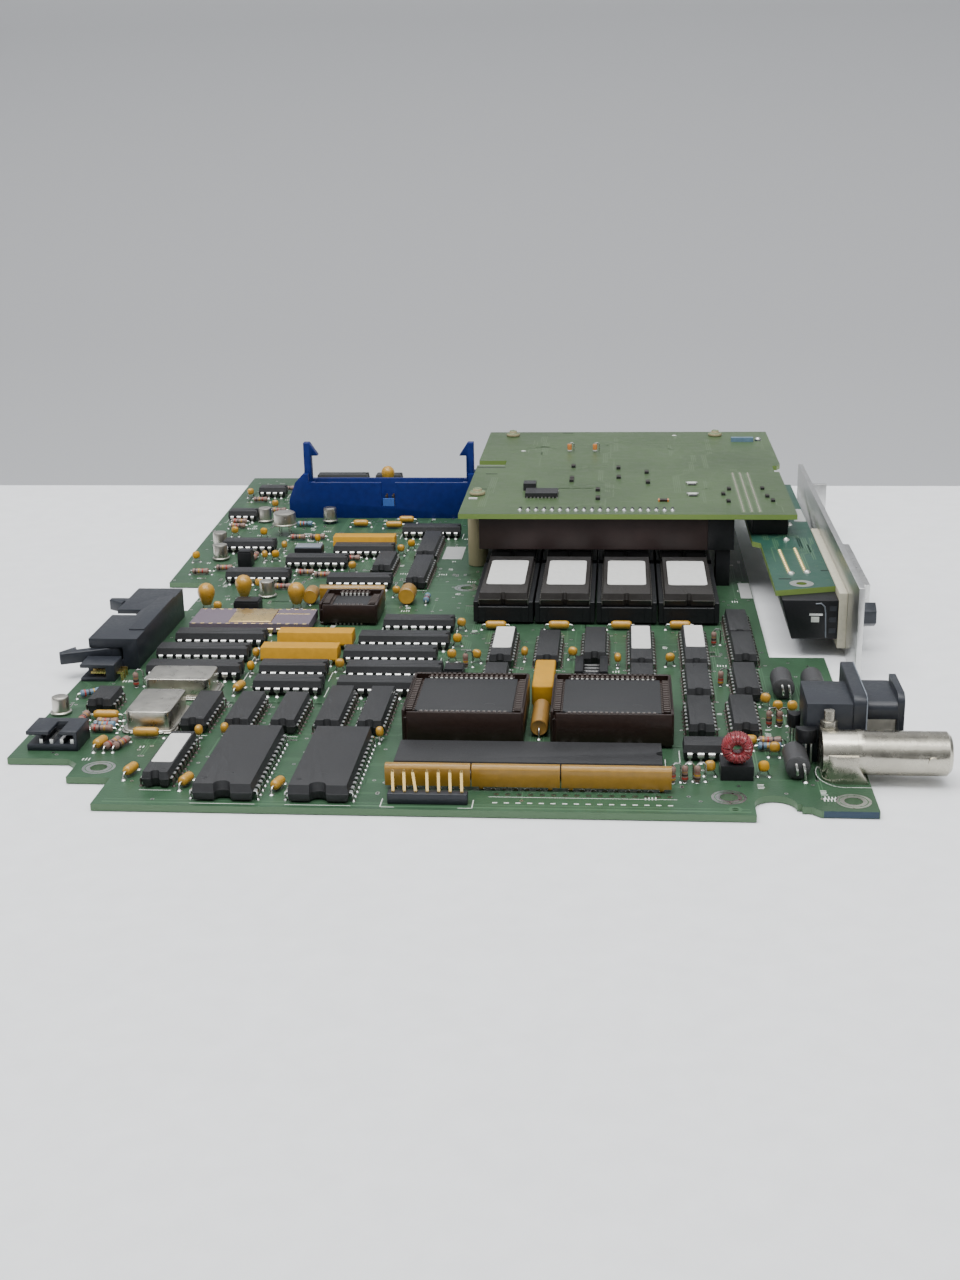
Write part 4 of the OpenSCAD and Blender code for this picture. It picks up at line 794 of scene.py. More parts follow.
def mezzanine_surface():
    board = SOLIDS["mezzanine_board"][0]
    z = board.z1
    x_range = (board.x0 + 1, board.x1 - 1)
    b = Build("trace_mezz")
    for pts in trace_paths(90, x_range, (board.y0 + 2, board.y1 - 2), ON_MEZZ, 15, 30):
        b.strip(pts, 0.3, z + 0.012)
    r = random.Random(33)
    for i in range(170):
        x, y = on_grid(r, x_range), on_grid(r, (board.y0 + 3, board.y1 - 2))
        if ON_MEZZ(x, y, 1):
            b.via(x, y, z + 0.02, 0.42, "trace_mezz", 0.21)
    # a row of soldered pins, each with a dark dash behind it as painted shadow
    for i in range(20):
        x = 89.9 + i * PITCH
        b.joint(x, 159, z, [(0.85, 0), (0.7, 0.3), (0.3, 0.6), (0, 0.75)], 12, "solder")
        b.box((x - 0.3, 161.6, z), (x + 0.5, 163.2, z + 0.25), "chip")
    # three long rows of pins at the right
    for x in (160.3, 162.85, 165.4):
        b.strip([(x, 157.2), (x, 214.6)], 1.5, z + 0.03)
        for i in range(23):
            b.joint(x, 158 + i * PITCH, z, [(0.5, 0), (0.4, 0.2), (0.2, 0.4), (0, 0.46)], 12, "pin_dull")
    # outline chip with nine gull leads to the front and nine to the back, and a black block behind it
    b.box((90.6, 176.4, z + 0.2), (101.2, 184.4, z + 1.6), "chip")
    for i in range(9):
        x = 91.0 + i * 1.22
        for y in (174.8, 184.2):
            b.box((x, y, z + 0.02), (x + 0.5, y + 1.8, z + 0.4), "pad")
    b.box((89.4, 187.2, z), (93.6, 192.4, z + 2.4), "chip")
    # surface parts: dark ones, one with orange ends, pale ones and small dark ones
    for x, y in MEZZ_DARK:
        chip_part(b, x, y, z, 1.4, 2.6, "brown", "hole", 0.8)
    chip_part(b, 135.6, 172.4, z, 3.0, 2.2, "brown", "orange")
    for x, y in ((145.6, 197.6), (145.3, 181.1)):
        chip_part(b, x, y, z, 3.4, 1.8, "silk")
        b.box((x - 1.2, y - 2.2, z), (x + 1.4, y - 1.0, z + 0.3), "chip")
    for x, y in MEZZ_SMALL:
        chip_part(b, x, y, z, 1.2, 2.0, "brown", "hole", 0.7)
    # pale dots, dark dashes and a blank sticker
    for x, y in ((85.7, 253.7), (142.4, 283.6)):
        b.disc(x, y, z + 0.05, 0.9, 16, "silk")
    for x, y in ((73.4, 189.5), (75.2, 213.5), (99.6, 288.6)):
        b.strip([(x, y), (x + 3.2, y)], 0.9, z + 0.04, "hole")
    b.box((72.2, 174.2, z), (75.0, 175.4, z + 0.4), "paper")
    b.strip([(71.4, 224.4), (80.4, 224.4)], 1.1, z + 0.02, "hole")
    # blue part with a bright blob of solder at its end
    b.box((163.4, 270.5, z), (171.7, 272.4, z + 1.6), "blue_film")
    b.joint(173.6, 273.0, z, [(1.3, 0), (1.2, 0.7), (0.6, 1.3), (0, 1.4)], 14, "solder")
    b.make("mezzanine_details", smooth=False)
    glass = Build("orange")
    for x, y in ((102.9, 251.8), (112.3, 251.7)):
        glass.joint(x, y, z, [(0, 0.4), (0.75, 0.45), (0.8, 0.9)], 16, "white")
        glass.joint(x, y, z, [(0.8, 0.9), (0.85, 2.7), (0.7, 3.0), (0, 3.1)], 16)
        route = ((0, 0), (0, 3.3), (0.9, 3.5), (1.6, 3.0), (1.6, 0))
        glass.tube([(x + dx, y, z + dz) for dx, dz in route], 0.22, 8, "copper")
    glass.make("mezzanine_glass_parts")


def interface_surface():
    z = SOLIDS["interface_board"][0].z1
    b = Build("pad")
    b.annulus(172.8, 102.3, z + 0.03, 1.52, 3.4, 36)
    # two slanting rows of gold contacts, each with a joint at its near end
    for x0, y0, x1, y1 in ((170.4, 114, 169.9, 138.4), (175.1, 115.5, 174.7, 140.4)):
        b.strip([(x0, y0), (x1, y1)], 1.5, z + 0.02, "trace")
        for i in range(13):
            x, y = x0 + (x1 - x0) * (i / 12), y0 + (y1 - y0) * (i / 12)
            b.joint(x, y, z, [(0.62, 0), (0.5, 0.2), (0.25, 0.4), (0, 0.45)], 10, "lid")
        b.joint(x0 + 0.5, y0 - 1.2, z, [(1.1, 0), (0.95, 0.3), (0.5, 0.6), (0, 0.7)], 16)
    for pts in trace_paths(30, (163, 181), (98, 226), ON_IFACE, 17, 18):
        b.strip(pts, 0.28, z + 0.012, "trace")
    r = random.Random(8)
    for i in range(50):
        x, y = r.uniform(163, 181), r.uniform(98, 228)
        if ON_IFACE(x, y, 1.0):
            b.via(x, y, z + 0.02, 0.42, "trace", 0.21)
    for x, y in ((175.8, 170.5), (173.1, 151.3)):
        b.joint(x, y, z, [(1.1, 0), (0.9, 0.4), (0.4, 0.8), (0, 0.9)], 14)
    for x, y, w in ((181.0, 116, 1.6), (168.6, 107, 2.4), (178, 208, 2.0)):
        b.strip([(x - w / 2, y), (x + w / 2, y)], 1.1, z + 0.025, "hole")
    b.box((178.0, 175, z), (181.8, 192, z + 0.12), "grey_paper")
    b.make("interface_details", smooth=False)
    b = Build("grey_paper")
    b.box((159.2, 143, 0), (162.8, 160, 0.12))
    b.box((61.4, 187.6, 0), (68.2, 204, 0.12))
    b.make("board_stickers", bevel=0.03, segments=1)


# ---------------------------------------------------------------- chips in detail

MARK = 0.008


def crescent(b, x, y, z, r, deg=0, mat=None):
    """Thin half ring pressed by an ejector pin into a chip's top."""
    n = 10
    v = []
    for i in range(n + 1):
        t = math.radians(deg + 180 * i / n)
        inner = r - 0.3 * math.sin(math.pi * i / n) - 0.02
        v += [(x + k * math.cos(t), y + k * math.sin(t), z) for k in (r, inner)]
    b.add(v, [(2 * i, 2 * i + 2, 2 * i + 3, 2 * i + 1) for i in range(n)], mat)


def lead_rows(b, x, y, deg, n, row, body_w, z_mid, solder="solder", **kw):
    """Both rows of a chip's leads with their joints; the end leads of a short chip are slimmer."""
    for s in (0, 180):
        for i, along in enumerate(spread(n // 2)):
            place = turn_at(x, y, deg + s) @ at(along, 0)
            slim = i in (0, n // 2 - 1) and n < 30 or deg == 90
            lead(b, place, row, body_w, z_mid, wide=1.1 if slim else 1.5, **kw)
            foot = place @ Vector((0, row / 2, 0))
            soldered(b, foot.x, foot.y, 0.55 if deg == 90 else 0.8, 0.45, solder)


SEAM = 0.12


def chip_body(b, place, ln, w, z0, z_mid, z1, notch, mat=None):
    """Moulded body: two drafted halves with a seam ridge between them and a round notch at one end."""
    arc = [math.pi * i / 8 for i in range(1, 8)]

    def outline(inset_w, inset_l):
        x0, x1, y0, y1 = -ln / 2 + inset_l, ln / 2 - inset_l, -w / 2 + inset_w, w / 2 - inset_w
        bite = [(x0 + notch * math.sin(t), notch * math.cos(t)) for t in arc]
        return [(x1, y1), (x1, y0), (x0, y0), (x0, -notch)] + bite[::-1] + [(x0, notch), (x0, y1)]
    lower = [(z0, 0.35, 0.28), (z_mid - SEAM - 0.02, 0.06, 0.05), (z_mid - SEAM, 0, 0)]
    upper = [(z_mid + SEAM, 0, 0), (z_mid + SEAM + 0.02, 0.06, 0.05), (z1, 0.35, 0.28)]
    v, f = [], []
    for z, inset_w, inset_l in lower + upper:
        v += [(x, y, z) for x, y in outline(inset_w, inset_l)]
    n = len(v) // 6
    for r in range(5):
        f += [(r * n + (i + 1) % n, r * n + i, (r + 1) * n + i, (r + 1) * n + (i + 1) % n) for i in range(n)]
    f += [tuple(range(n)), tuple(range(6 * n - 1, 5 * n - 1, -1))]
    b.add(v, f, mat, place)


def dip_group(node, name):
    """Rounded bodies in two shades, formed leads with solder, and pressed marks."""
    leads = Build("tin")
    marks = Build("dimple")
    bodies = Build("chip")
    for k, s in enumerate(SOLIDS[node]):
        along_x = s.lx > s.ly
        ln, w = max(s.lx, s.ly), min(s.lx, s.ly)
        n = 2 * round((ln - 0.6) / PITCH)
        deg = 180 if along_x else 90
        # the legs and joints of a row seen from its end take the dark finger colour as painted shade, so only
        # their shoulders shine
        shade = {} if along_x else {"bend": 3, "low": "dark_finger_and_shade", "solder": "dark_finger_and_shade"}
        lead_rows(leads, s.x, s.y, deg, n, 7.62, w, s.z, **shade)
        place = turn_at(s.x, s.y, deg)
        chip_body(bodies, place, ln, w, s.z0, s.z, s.z1, 1.0, "chip_pale" if k % 3 == 1 else "chip")
        dot = place @ Vector((-ln / 2 + 1.5, -w / 2 + 1.6, 0))
        marks.disc(dot.x, dot.y, s.z1 + MARK, 0.5, 16)
        if k % 2:
            mark = place @ Vector((ln / 2 - 2.6, 0, 0))
            crescent(marks, mark.x, mark.y, s.z1 + MARK, 0.9, deg)
    leads.make(name + "_leads", angle=50)
    marks.make(name + "_marks", smooth=False)
    bodies.make(name + "_bodies", replaces=node, bevel=0.13, angle=28)


WIDE_ROW = 15.24
WIDE_MID = 2.3


def wide_chips():
    """Memory chips and processor, with marks near both ends and a dot at a memory chip's first pin."""
    marks = Build("dimple")
    for name, node, mat, piece, pins, notch in (("memory", "memory_chips", "chip_pale", "_bodies", 28, 1.9),
                                                ("processor", "processor", "chip", "_body", 48, 1.3)):
        bodies = Build(mat)
        leads = Build("tin")
        for s in SOLIDS[node]:
            along_y = s.ly > s.lx
            ln, w = max(s.lx, s.ly), min(s.lx, s.ly)
            deg = 90 if along_y else 180
            top = s.z1 + MARK
            lead_rows(leads, s.x, s.y, deg, pins, WIDE_ROW, w, WIDE_MID)
            chip_body(bodies, turn_at(s.x, s.y, deg), ln, w, s.z0, WIDE_MID, s.z1, notch)
            if along_y:
                for y in (s.y - ln / 2 + 6, s.y + ln / 2 - 4):
                    crescent(marks, s.x, y, top, 1.5)
                marks.disc(s.x - w / 2 + 2.2, s.y - ln / 2 + 3.6, top, 0.7, 16)
            else:
                for x in (s.x - ln / 2 + 9.5, s.x + ln / 2 - 9.5):
                    crescent(marks, x, s.y + 0.4, top, 1.6)
        bodies.make(name + piece, replaces=node, bevel=0.18, angle=28)
        leads.make(name + "_lead_rows", replaces=name + "_leads", angle=50)
    marks.make("wide_chip_marks", smooth=False)


def rounded_box(b, x, y, lx, ly, z0, z1, r):
    """Upright box with round corners of radius r."""
    pts = []
    for sx, sy, start in ((1, -1, -90), (1, 1, 0), (-1, 1, 90), (-1, -1, 180)):
        for step in range(7):
            a = math.radians(start + 90 * step / 6)
            pts.append((sx * (lx / 2 - r) + r * math.cos(a), sy * (ly / 2 - r) + r * math.sin(a)))
    b.prism(pts, z0, z1, None, turn_at(x, y))


STICKERS = ((17, 3.0, 5.0, 18), (89.3, 89.6, 5.2, 19), (127.7, 90.6, 5.2, 20.5), (142.6, 92, 5.2, 19.5))


def labels():
    """Blank stickers on four logic chips, and on the memory chips."""
    b = Build("paper")
    chip_top = 4.1
    for x, y, w, ln in STICKERS:
        rounded_box(b, x, y, w, ln, chip_top, chip_top + 0.1, 0.6)
    b.make("chip_stickers", angle=30)
    b = Build("paper")
    for s in SOLIDS["rom_labels"]:
        rounded_box(b, s.x, s.y, s.lx, s.ly, s.z0, s.z1, 1.2)
    b.make("memory_labels", replaces="rom_labels", angle=30)


SOCKET_RIM = 0.75
SOCKET_FOOT = 0.9


def socket_side(wall, contacts, q, turn, socket, chip_h, per_side):
    """Side q of a square socket, turned from the front: wall, ledge, ribs between contacts, contacts."""
    z0, z1 = socket.z0, socket.z1
    h, inner = socket.lx / 2, chip_h + 0.2
    shelf = -h + SOCKET_RIM
    cut_left = 1.6 if q == 0 else 0.5
    cut_right = 1.6 if q == 3 else 0.5
    rim = [(-h + cut_left, -h), (h - cut_right, -h), (h - cut_right + SOCKET_RIM * 0.6, shelf),
           (-h + cut_left - SOCKET_RIM * 0.6, shelf)]
    wall.prism(rim, z0 + SOCKET_FOOT, z1, "brown", turn)
    ledge = [(-h + 0.5, shelf), (h - 0.5, shelf), (inner, -inner), (-inner, -inner)]
    wall.prism(ledge, z0 + SOCKET_FOOT, z1 - 1.6, "brown", turn)
    for x in spread(per_side + 1, HALF_PITCH):
        wall.box((x - 0.24, shelf - 0.05, z1 - 1.65), (x + 0.24, -inner, z1 - 0.45), "brown", turn)
    # the tips at the front and back shine; those at the sides take the dark finger colour as painted shade
    # and stand lower
    tip, tip_top = ("dark_finger_and_shade", z1 - 0.9) if q % 2 else ("tip", z1 - 0.5)
    for x in spread(per_side, HALF_PITCH):
        for w, y0, y1, low, top, mat in ((0.3, -inner - 0.35, -chip_h + 0.45, z1 - 2.6, tip_top, tip),
                                         (0.3, shelf + 0.05, -inner - 0.1, z1 - 1.65, z1 - 0.25, "dark_finger_and_shade"),
                                         (0.3, -h + 0.2, shelf + 0.1, z1 - 0.3, z1, "dark_finger_and_shade"),
                                         (0.25, -h + 1.2, -h + 1.45, z0, z0 + 0.95, "tip")):
            contacts.box((x - w, y0, low), (x + w, y1, top), mat, turn)
    wall.box((-h + 0.4, -h + 0.4, z0 + 0.3), (-h + 2.2, -h + 2.2, z0 + 1.0), "brown", turn)


SQUARE_SOCKETS = (("large", "plcc_sockets", "plcc_chips", "chip_pale", 17),
                  ("small", "small_plcc_socket", "small_plcc_chip", "chip", 7))


def square_sockets():
    for name, node, chip_node, mat, per_side in SQUARE_SOCKETS:
        wall = Build("brown")
        contacts = Build("tip")
        chips = Build(mat)
        for socket, chip in zip(SOLIDS[node], SOLIDS[chip_node]):
            place = at(socket.x, socket.y)
            h = chip.lx / 2
            for q in range(4):
                socket_side(wall, contacts, q, place @ spin(90 * q), socket, h, per_side)
            wall.block(0, 0, h + 0.2, h + 0.2, socket.z0 + SOCKET_FOOT, chip.z0 - 0.05, "brown", place)
            # chip with a cut corner and a low crown
            cut = 1.1
            pts = [(-h + cut, -h), (h, -h), (h, h), (-h, h), (-h, -h + cut)]
            seam = chip.z1 - 1.5
            for low, top, draft in ((chip.z0, seam, 0.35), (seam, chip.z1, 0.25)):
                k = 1 - draft / h
                chips.prism([(x * k, y * k) for x, y in pts], low, top, mat, place)
            for dx, dy in ((-h * 0.55, h * 0.62), (h * 0.5, -h * 0.62)):
                crescent(chips, socket.x + dx, socket.y + dy, chip.z1 + 0.01, 1.4, 0, "dimple")
        wall.make(name + "_square_socket", replaces=node, bevel=0.1, segments=1)
        contacts.make(name + "_socket_contacts", smooth=False)
        chips.make(name + "_square_chip", replaces=chip_node, bevel=0.16)


def memory_sockets():
    wall = Build("black")
    contacts = Build("tin_shade_and_highlight")
    chips = Build("chip_brown")
    for s, chip in zip(SOLIDS["rom_sockets"], SOLIDS["rom_chips"]):
        hw, hl = s.lx / 2, s.ly / 2
        z0, seat, seam = s.z0, chip.z0, chip.z0 + 1.7
        place = at(s.x, s.y)
        for side in (-1, 1):
            for outer, inner, top in ((hw, hw - 1.35, s.z1 + 0.1), (hw - 1.35, hw - 3.6, seat - 0.3)):
                x0, x1 = sorted((side * outer, side * inner))
                wall.box((x0, -hl, z0 + 0.8), (x1, hl, top), "black", place)
            for y in spread(16):
                contacts.block(side * (hw - 1.7), y, 0.25, 0.25, z0, z0 + 0.9, "tin_shade_and_highlight", place)
                contacts.block(side * (hw - 1.55), y, 0.18, 0.6, seat - 0.35, seat + 1.9, "tin_shade_and_highlight", place)
        for y0, y1 in ((-hl, -hl + 2.6), (-3, 3), (hl - 2.6, hl)):
            wall.box((-hw + 3.5, y0, z0 + 0.8), (hw - 3.5, y1, seat - 0.3), "black", place)
        chip_body(chips, turn_at(s.x, chip.y, 90), chip.ly, chip.lx, seat, seam, chip.z1, 0.7)
        # two bright lines along the chip's seam and two upright corner lines at its near end are painted
        # highlights
        for x0, x1 in ((chip.x0 + 0.1, s.x - 1.1), (s.x + 1.1, chip.x1 - 0.1)):
            contacts.box((x0, chip.y0 - 0.12, seam - 0.1), (x1, chip.y0 + 0.05, seam + 0.08))
        for x in (chip.x0, chip.x1):
            contacts.block(x, chip.y0, 0.12, 0.12, seam - 1.3, seam + 0.1)
    wall.make("memory_socket_frames", replaces="rom_sockets", bevel=0.12, segments=1)
    contacts.make("memory_socket_contacts", smooth=False)
    chips.make("memory_chip_bodies", replaces="rom_chips", bevel=0.25, angle=28)


def ceramic():
    b = Build("ceramic")
    s = SOLIDS["ceramic_chip"][0]
    b.box(s.lo, s.hi)
    for dx in spread(14):
        for y in (s.y0 + 0.35, s.y1 - 0.35):
            b.block(s.x + dx, y, 0.6, 0.33, s.z0 + 0.4, s.z1 + 0.02, "lid")
    b.box((s.x + 6, s.y + 2.2, s.z1), (s.x1 - 1.4, s.y + 2.9, s.z1 + 0.03), "lid")
    b.make("ceramic_body", replaces="ceramic_chip", bevel=0.1, segments=1)
    leads = Build("lid")
    lead_rows(leads, s.x, s.y, 0, 28, WIDE_ROW, s.ly, 2.0, thick=0.22, low="lid")
    leads.make("ceramic_lead_rows", angle=50)
    dress("ceramic_lid", "lid", 0.1)


# ---------------------------------------------------------------- small parts

def resistor_bars():
    """Coated bars: flat faces, sloped shoulders, leads and small feet."""
    b = Build("amber_bar")
    for s in SOLIDS["sip_networks"]:
        w, z0, foot, shoulder = s.ly / 2, s.z0, s.z0 + 0.5, s.z1 - 0.8
        profile = [(-w, foot), (w, foot), (w, shoulder), (w - 0.7, s.z1), (-w + 0.7, s.z1), (-w, shoulder)]
        b.bar([(s.y + y, z) for y, z in profile], s.x0 + 0.05, s.x1 - 0.05)
        for dx in spread(int((s.lx - 0.4) // PITCH)):
            b.block(s.x + dx, s.y, 0.28, 0.12, 0, z0 + 0.6, "tin")
            solder_dot(b, s.x + dx, s.y, 0.7, 0.3)
        for x in (s.x0 + 2.2, s.x1 - 2.2):
            b.block(x, s.y, 0.5, w - 0.2, z0, z0 + 0.6)
    b.make("resistor_bars", replaces="sip_networks", bevel=0.16, angle=28)


def yellow_networks():
    b = Build("amber_pale")
    base = 1.2
    for s in SOLIDS["dip_networks"]:
        w = s.ly / 2
        profile = [(-w + 0.5, base), (w - 0.5, base), (w, base + 0.7), (w - 0.9, s.z1), (-w + 0.9, s.z1),
                   (-w, base + 0.7)]
        b.bar([(s.y + y, z) for y, z in profile], s.x0, s.x1)
        for y in (s.y - 3.3, s.y + 3.3):
            for dx in spread(8):
                b.block(s.x + dx, y, 0.5, 0.14, 0.9, base + 0.6, "tin")
                b.block(s.x + dx, y, 0.25, 0.12, 0, 1.0, "tin")
                solder_dot(b, s.x + dx, y, 0.75, 0.3)
    b.make("yellow_networks", replaces="dip_networks", bevel=0.3, segments=3, angle=28)


def oscillator_cans():
    b = Build("can")
    for s in SOLIDS["oscillators"]:
        for inset, z0, z1, r in ((0, 0.15, 0.55, 2.6), (1.0, 0.5, 0.95, 2.2), (2.8, 0.9, s.z1, 1.5)):
            rounded_box(b, s.x, s.y, s.lx - inset, s.ly - inset, z0, z1, r)
    b.make("oscillator_cans", replaces="oscillators", bevel=0.28, segments=3, angle=50)


def transistor_cans():
    """Domed cans with a tab on their rim, on thin legs."""
    b = Build("can")
    for s in SOLIDS["metal_transistors"]:
        r, top = s.lx / 2, s.z1
        big = r > 3.5
        lift = 4.0 if big else max(0.3, top - 5.0)
        k = r - 0.5
        b.lathe([(0, lift), (r, lift), (r, lift + 0.35), (r - 0.15, lift + 0.5), (k, lift + 0.55),
                 (k, top - 0.5), (k - 0.15, top - 0.15), (k - 0.5, top), (0, top)], 32, "can", at(s.x, s.y))
        tab = turn_at(s.x, s.y, 215) @ at(-0.05, 0)
        b.box((r - 0.35, -0.35, lift + 0.02), (r, 0.35, lift + 0.35), "can", tab)
        for deg in (45, 135, 225, 315) if big else (45, 135, 270):
            a = math.radians(deg)
            x, y = s.x + r * 0.55 * math.cos(a), s.y + r * 0.55 * math.sin(a)
            b.tube([(x, y, 0), (x, y, lift + 0.1)], 0.23, 8, "copper")
    b.make("transistor_cans", replaces="metal_transistors", angle=40)


def lying_barrel(b, s):
    """Yellow can on its side along Y, with a groove near one end and a wire at both."""
    r, h = s.lx / 2, s.ly / 2
    place = at(s.x, s.y, s.z1 - r) @ spin(90, "X")
    b.lathe([(r * 0.96, -h + 0.15), (r, -h + 0.5), (r, h - 0.9), (r * 0.94, h - 0.7), (r * 0.94, h - 0.5),
             (r, h - 0.3), (r * 0.9, h - 0.02)], 28, "mustard", place)
    b.lathe([(0, -h), (r * 0.96, -h + 0.15)], 28, "mustard", place)
    b.lathe([(r * 0.9, h - 0.02), (r * 0.5, h - 0.06), (0, h - 0.02)], 28, "amber", place)
    for y in (s.y0 + 0.5, s.y1 - 0.5):
        b.tube([(s.x, y, 0), (s.x, y, s.z1 - 2 * r + 0.4)], 0.26, 8, "copper")
        solder_dot(b, s.x, y, 0.7, 0.35)


def standing_bead(b, s):
    """Drop on two wires, rounded at the top and narrow below."""
    r, top = s.lx / 2, s.z1
    base = top - 2.6 * r
    profile = [(0, base + 0.05), (r * 0.34, base), (r * 0.55, base + 0.12 * r), (r * 0.78, base + 0.7 * r),
               (r * 0.95, base + 1.2 * r)]
    for deg in range(0, 90, 15):
        a = math.radians(deg)
        profile.append((r * math.cos(a), base + 1.6 * r + r * math.sin(a)))
    b.lathe(profile + [(0, top)], 28, "amber", at(s.x, s.y))
    for side in (-1, 1):
        x, neck = s.x + side * HALF_PITCH, s.x + side * r * 0.36
        b.tube([(x, s.y, 0), (x, s.y, base * 0.5), (neck, s.y, base + 0.3)], 0.26, 8, "copper")
        solder_dot(b, x, s.y)


LYING_TOP = 6.5


def tantalum_capacitors():
    b = Build("amber")
    for s in SOLIDS["tantalum_capacitors"]:
        shape = lying_barrel if s.z1 < LYING_TOP else standing_bead
        shape(b, s)
    b.make("tantalum_beads", replaces="tantalum_capacitors", angle=40)


def lump(b, place, lx, ly, lz, mat=None):
    """Dipped lump: a rounded box between an ellipsoid and a brick."""
    power, n, rows = 2.6, 14, 9

    def swell(c):
        return math.copysign(abs(c) ** (2 / power), c)
    v, rings = [], []
    for i in range(rows + 1):
        t = -math.pi / 2 + math.pi * i / rows
        ring = [(0, 0)] if i in (0, rows) else circle(1, n)
        rings.append(list(range(len(v), len(v) + len(ring))))
        narrow = abs(math.cos(t)) ** (2 / power)
        v += [(swell(x) * lx * narrow, swell(y) * ly * narrow, swell(math.sin(t)) * lz) for x, y in ring]
    b.add(v, ring_faces(rings), mat, place)


def bead_capacitors():
    b = Build("amber")
    r = random.Random(4)
    for s in SOLIDS["ceramic_capacitors"]:
        z = s.z1 - 1.3
        lean = spin(r.uniform(-9, 9), "X") @ spin(r.uniform(-9, 9), "Y")
        turn = spin(r.choice([0, 0, 90, 20, 160]))
        lump(b, at(s.x, s.y, z) @ turn @ lean, 1.28, 0.95, 1.26, r.choice(["amber", "amber", "amber_pale"]))
        for side in (-1, 1):
            foot = turn @ Vector((side * HALF_PITCH, 0, 0))
            hang = turn @ Vector((side * 0.6, 0, 0))
            x, y = s.x + foot.x, s.y + foot.y
            b.tube([(x, y, 0), (x, y, 0.35), (s.x + hang.x, s.y + hang.y, z - 0.8)], 0.22, 6, "copper")
            soldered(b, x, y, 0.62, 0.32)
    lump(b, at(154.8, 174.1, 1.8), 1.6, 1.2, 1.6)
    b.make("bead_capacitors", replaces="ceramic_capacitors", angle=60)


# x, y, turn and length of the lying barrels
AXIAL_PLACES = (
    (85.6, 109.1, 0, 6.1), (104.1, 109.6, 0, 6.1), (122.3, 110, 0, 6.1), (139.3, 110.5, 0, 6.1),
    (102.4, 30.5, 90, 15), (6, 19.4, 0, 6.5), (-7.5, 31, 0, 6.5), (9, -4, 75, 4.5), (23.5, -9.5, 75, 4.5),
    (45, -11, 75, 4.5), (-3.3, 12.5, 75, 4.5), (151.7, 19.6, 0, 5.5), (21.6, 53.5, 75, 4.5),
    (26.8, 232.5, 0, 5.5), (43, 238.4, 0, 5.5), (39.4, 230.4, 0, 6))


def axial_caps():
    """Barrels lying down: domed ends on the short ones, crimped ends on the long one, bent wires."""
    b = Build("amber")
    for x, y, deg, ln in AXIAL_PLACES:
        long = ln > 10
        r = 2.15 if long else 1.19
        z = r + 0.4
        h = ln / 2
        if long:
            half = [(r, h - 0.4), (r * 0.97, h - 0.1), (r * 0.86, h), (r * 0.8, h - 0.1), (0, h - 0.1)]
        else:
            half = [(r, h - 1.3), (r * 0.98, h - 0.8), (r * 0.8, h - 0.25), (r * 0.45, h - 0.02), (0, h)]
        b.lathe(mirrored(half), 24, "tan_cap" if long else "amber", at(x, y, z) @ spin(deg) @ spin(90, "Y"))
        # the long barrel has a wire at its near end only
        for side in (-1,) if long else (-1, 1):
            reach = (h - 0.2, h + 0.7, h + 1.1, 0.45)
            foot = bent_wire(b, turn_at(x, y, deg), side, reach, z, 0.24, 8)
            soldered(b, foot.x, foot.y, 0.7, 0.35)
    b.make("axial_barrels", replaces="axial_capacitors", angle=45)
    b = Build("amber_pale")
    s = SOLIDS["box_capacitor"][0]
    b.box((s.x0, s.y0, s.z0 + 0.1), s.hi)
    b.make("yellow_box_capacitor", replaces="box_capacitor", bevel=0.5, segments=3)


BANDS = ("red", "mark_dark", "amber")


def resistor_body(b, place, ln, r, k):
    """Body with a bulb at each end and three colour bands; k picks the colours."""
    h = ln / 2
    half = [(r * 0.86, h - 1.5), (r, h - 1.1), (r, h - 0.35), (r * 0.6, h), (0, h)]
    b.lathe(mirrored(half), 16, "blue_film" if k % 7 == 3 else "carbon", place)
    for i, t in enumerate((-0.33, -0.12, 0.1)):
        z = t * ln
        band_r = (r * 0.87 if abs(z) < h - 1.5 else r * 1.01) + 0.015
        b.lathe([(band_r, z), (band_r, z + 0.42)], 16, BANDS[(k + i) % 3], place)


STANDING_TOP = 3


def resistors():
    b = Build("carbon")
    for k, s in enumerate(SOLIDS["resistors"]):
        x, y, top = s.x, s.y, s.z1
        if top > STANDING_TOP:
            # the upper wire bends over and comes down beside the body
            resistor_body(b, at(x, y, s.z), s.lz, s.lx / 2 - 0.01, k)
            b.tube([(x, y, 0), (x, y, s.z0 + 0.1)], 0.24, 6, "copper")
            over = ((0, 0, -0.1), (0, 0, 0.3), (0.5, 0, 0.75), (1.4, 0.4, 0.7), (1.9, 0.6, 0),
                    (1.9, 0.6, -top))
            b.tube([(x + dx, y + dy, top + dz) for dx, dy, dz in over], 0.22, 6, "copper")
            solder_dot(b, x, y, 0.6, 0.3)
            solder_dot(b, x + 1.9, y + 0.6, 0.6, 0.3)
            continue
        # a lying body runs along the longer side of its box, or across it
        deg = math.degrees(math.atan2(max(s.ly - 1.9, 0), max(s.lx - 1.9, 0.001)))
        if abs(deg - 90) < 8:
            deg = 90
        resistor_body(b, at(x, y, s.z) @ spin(deg) @ spin(90, "Y"), 5.6, 0.94, k)
        for side in (-1, 1):
            foot = bent_wire(b, turn_at(x, y, deg), side, (2.7, 3.3, 3.7, 0.4), s.z, 0.23, 6)
            soldered(b, foot.x, foot.y, 0.62, 0.3)
    b.make("banded_resistors", replaces="resistors", angle=45)


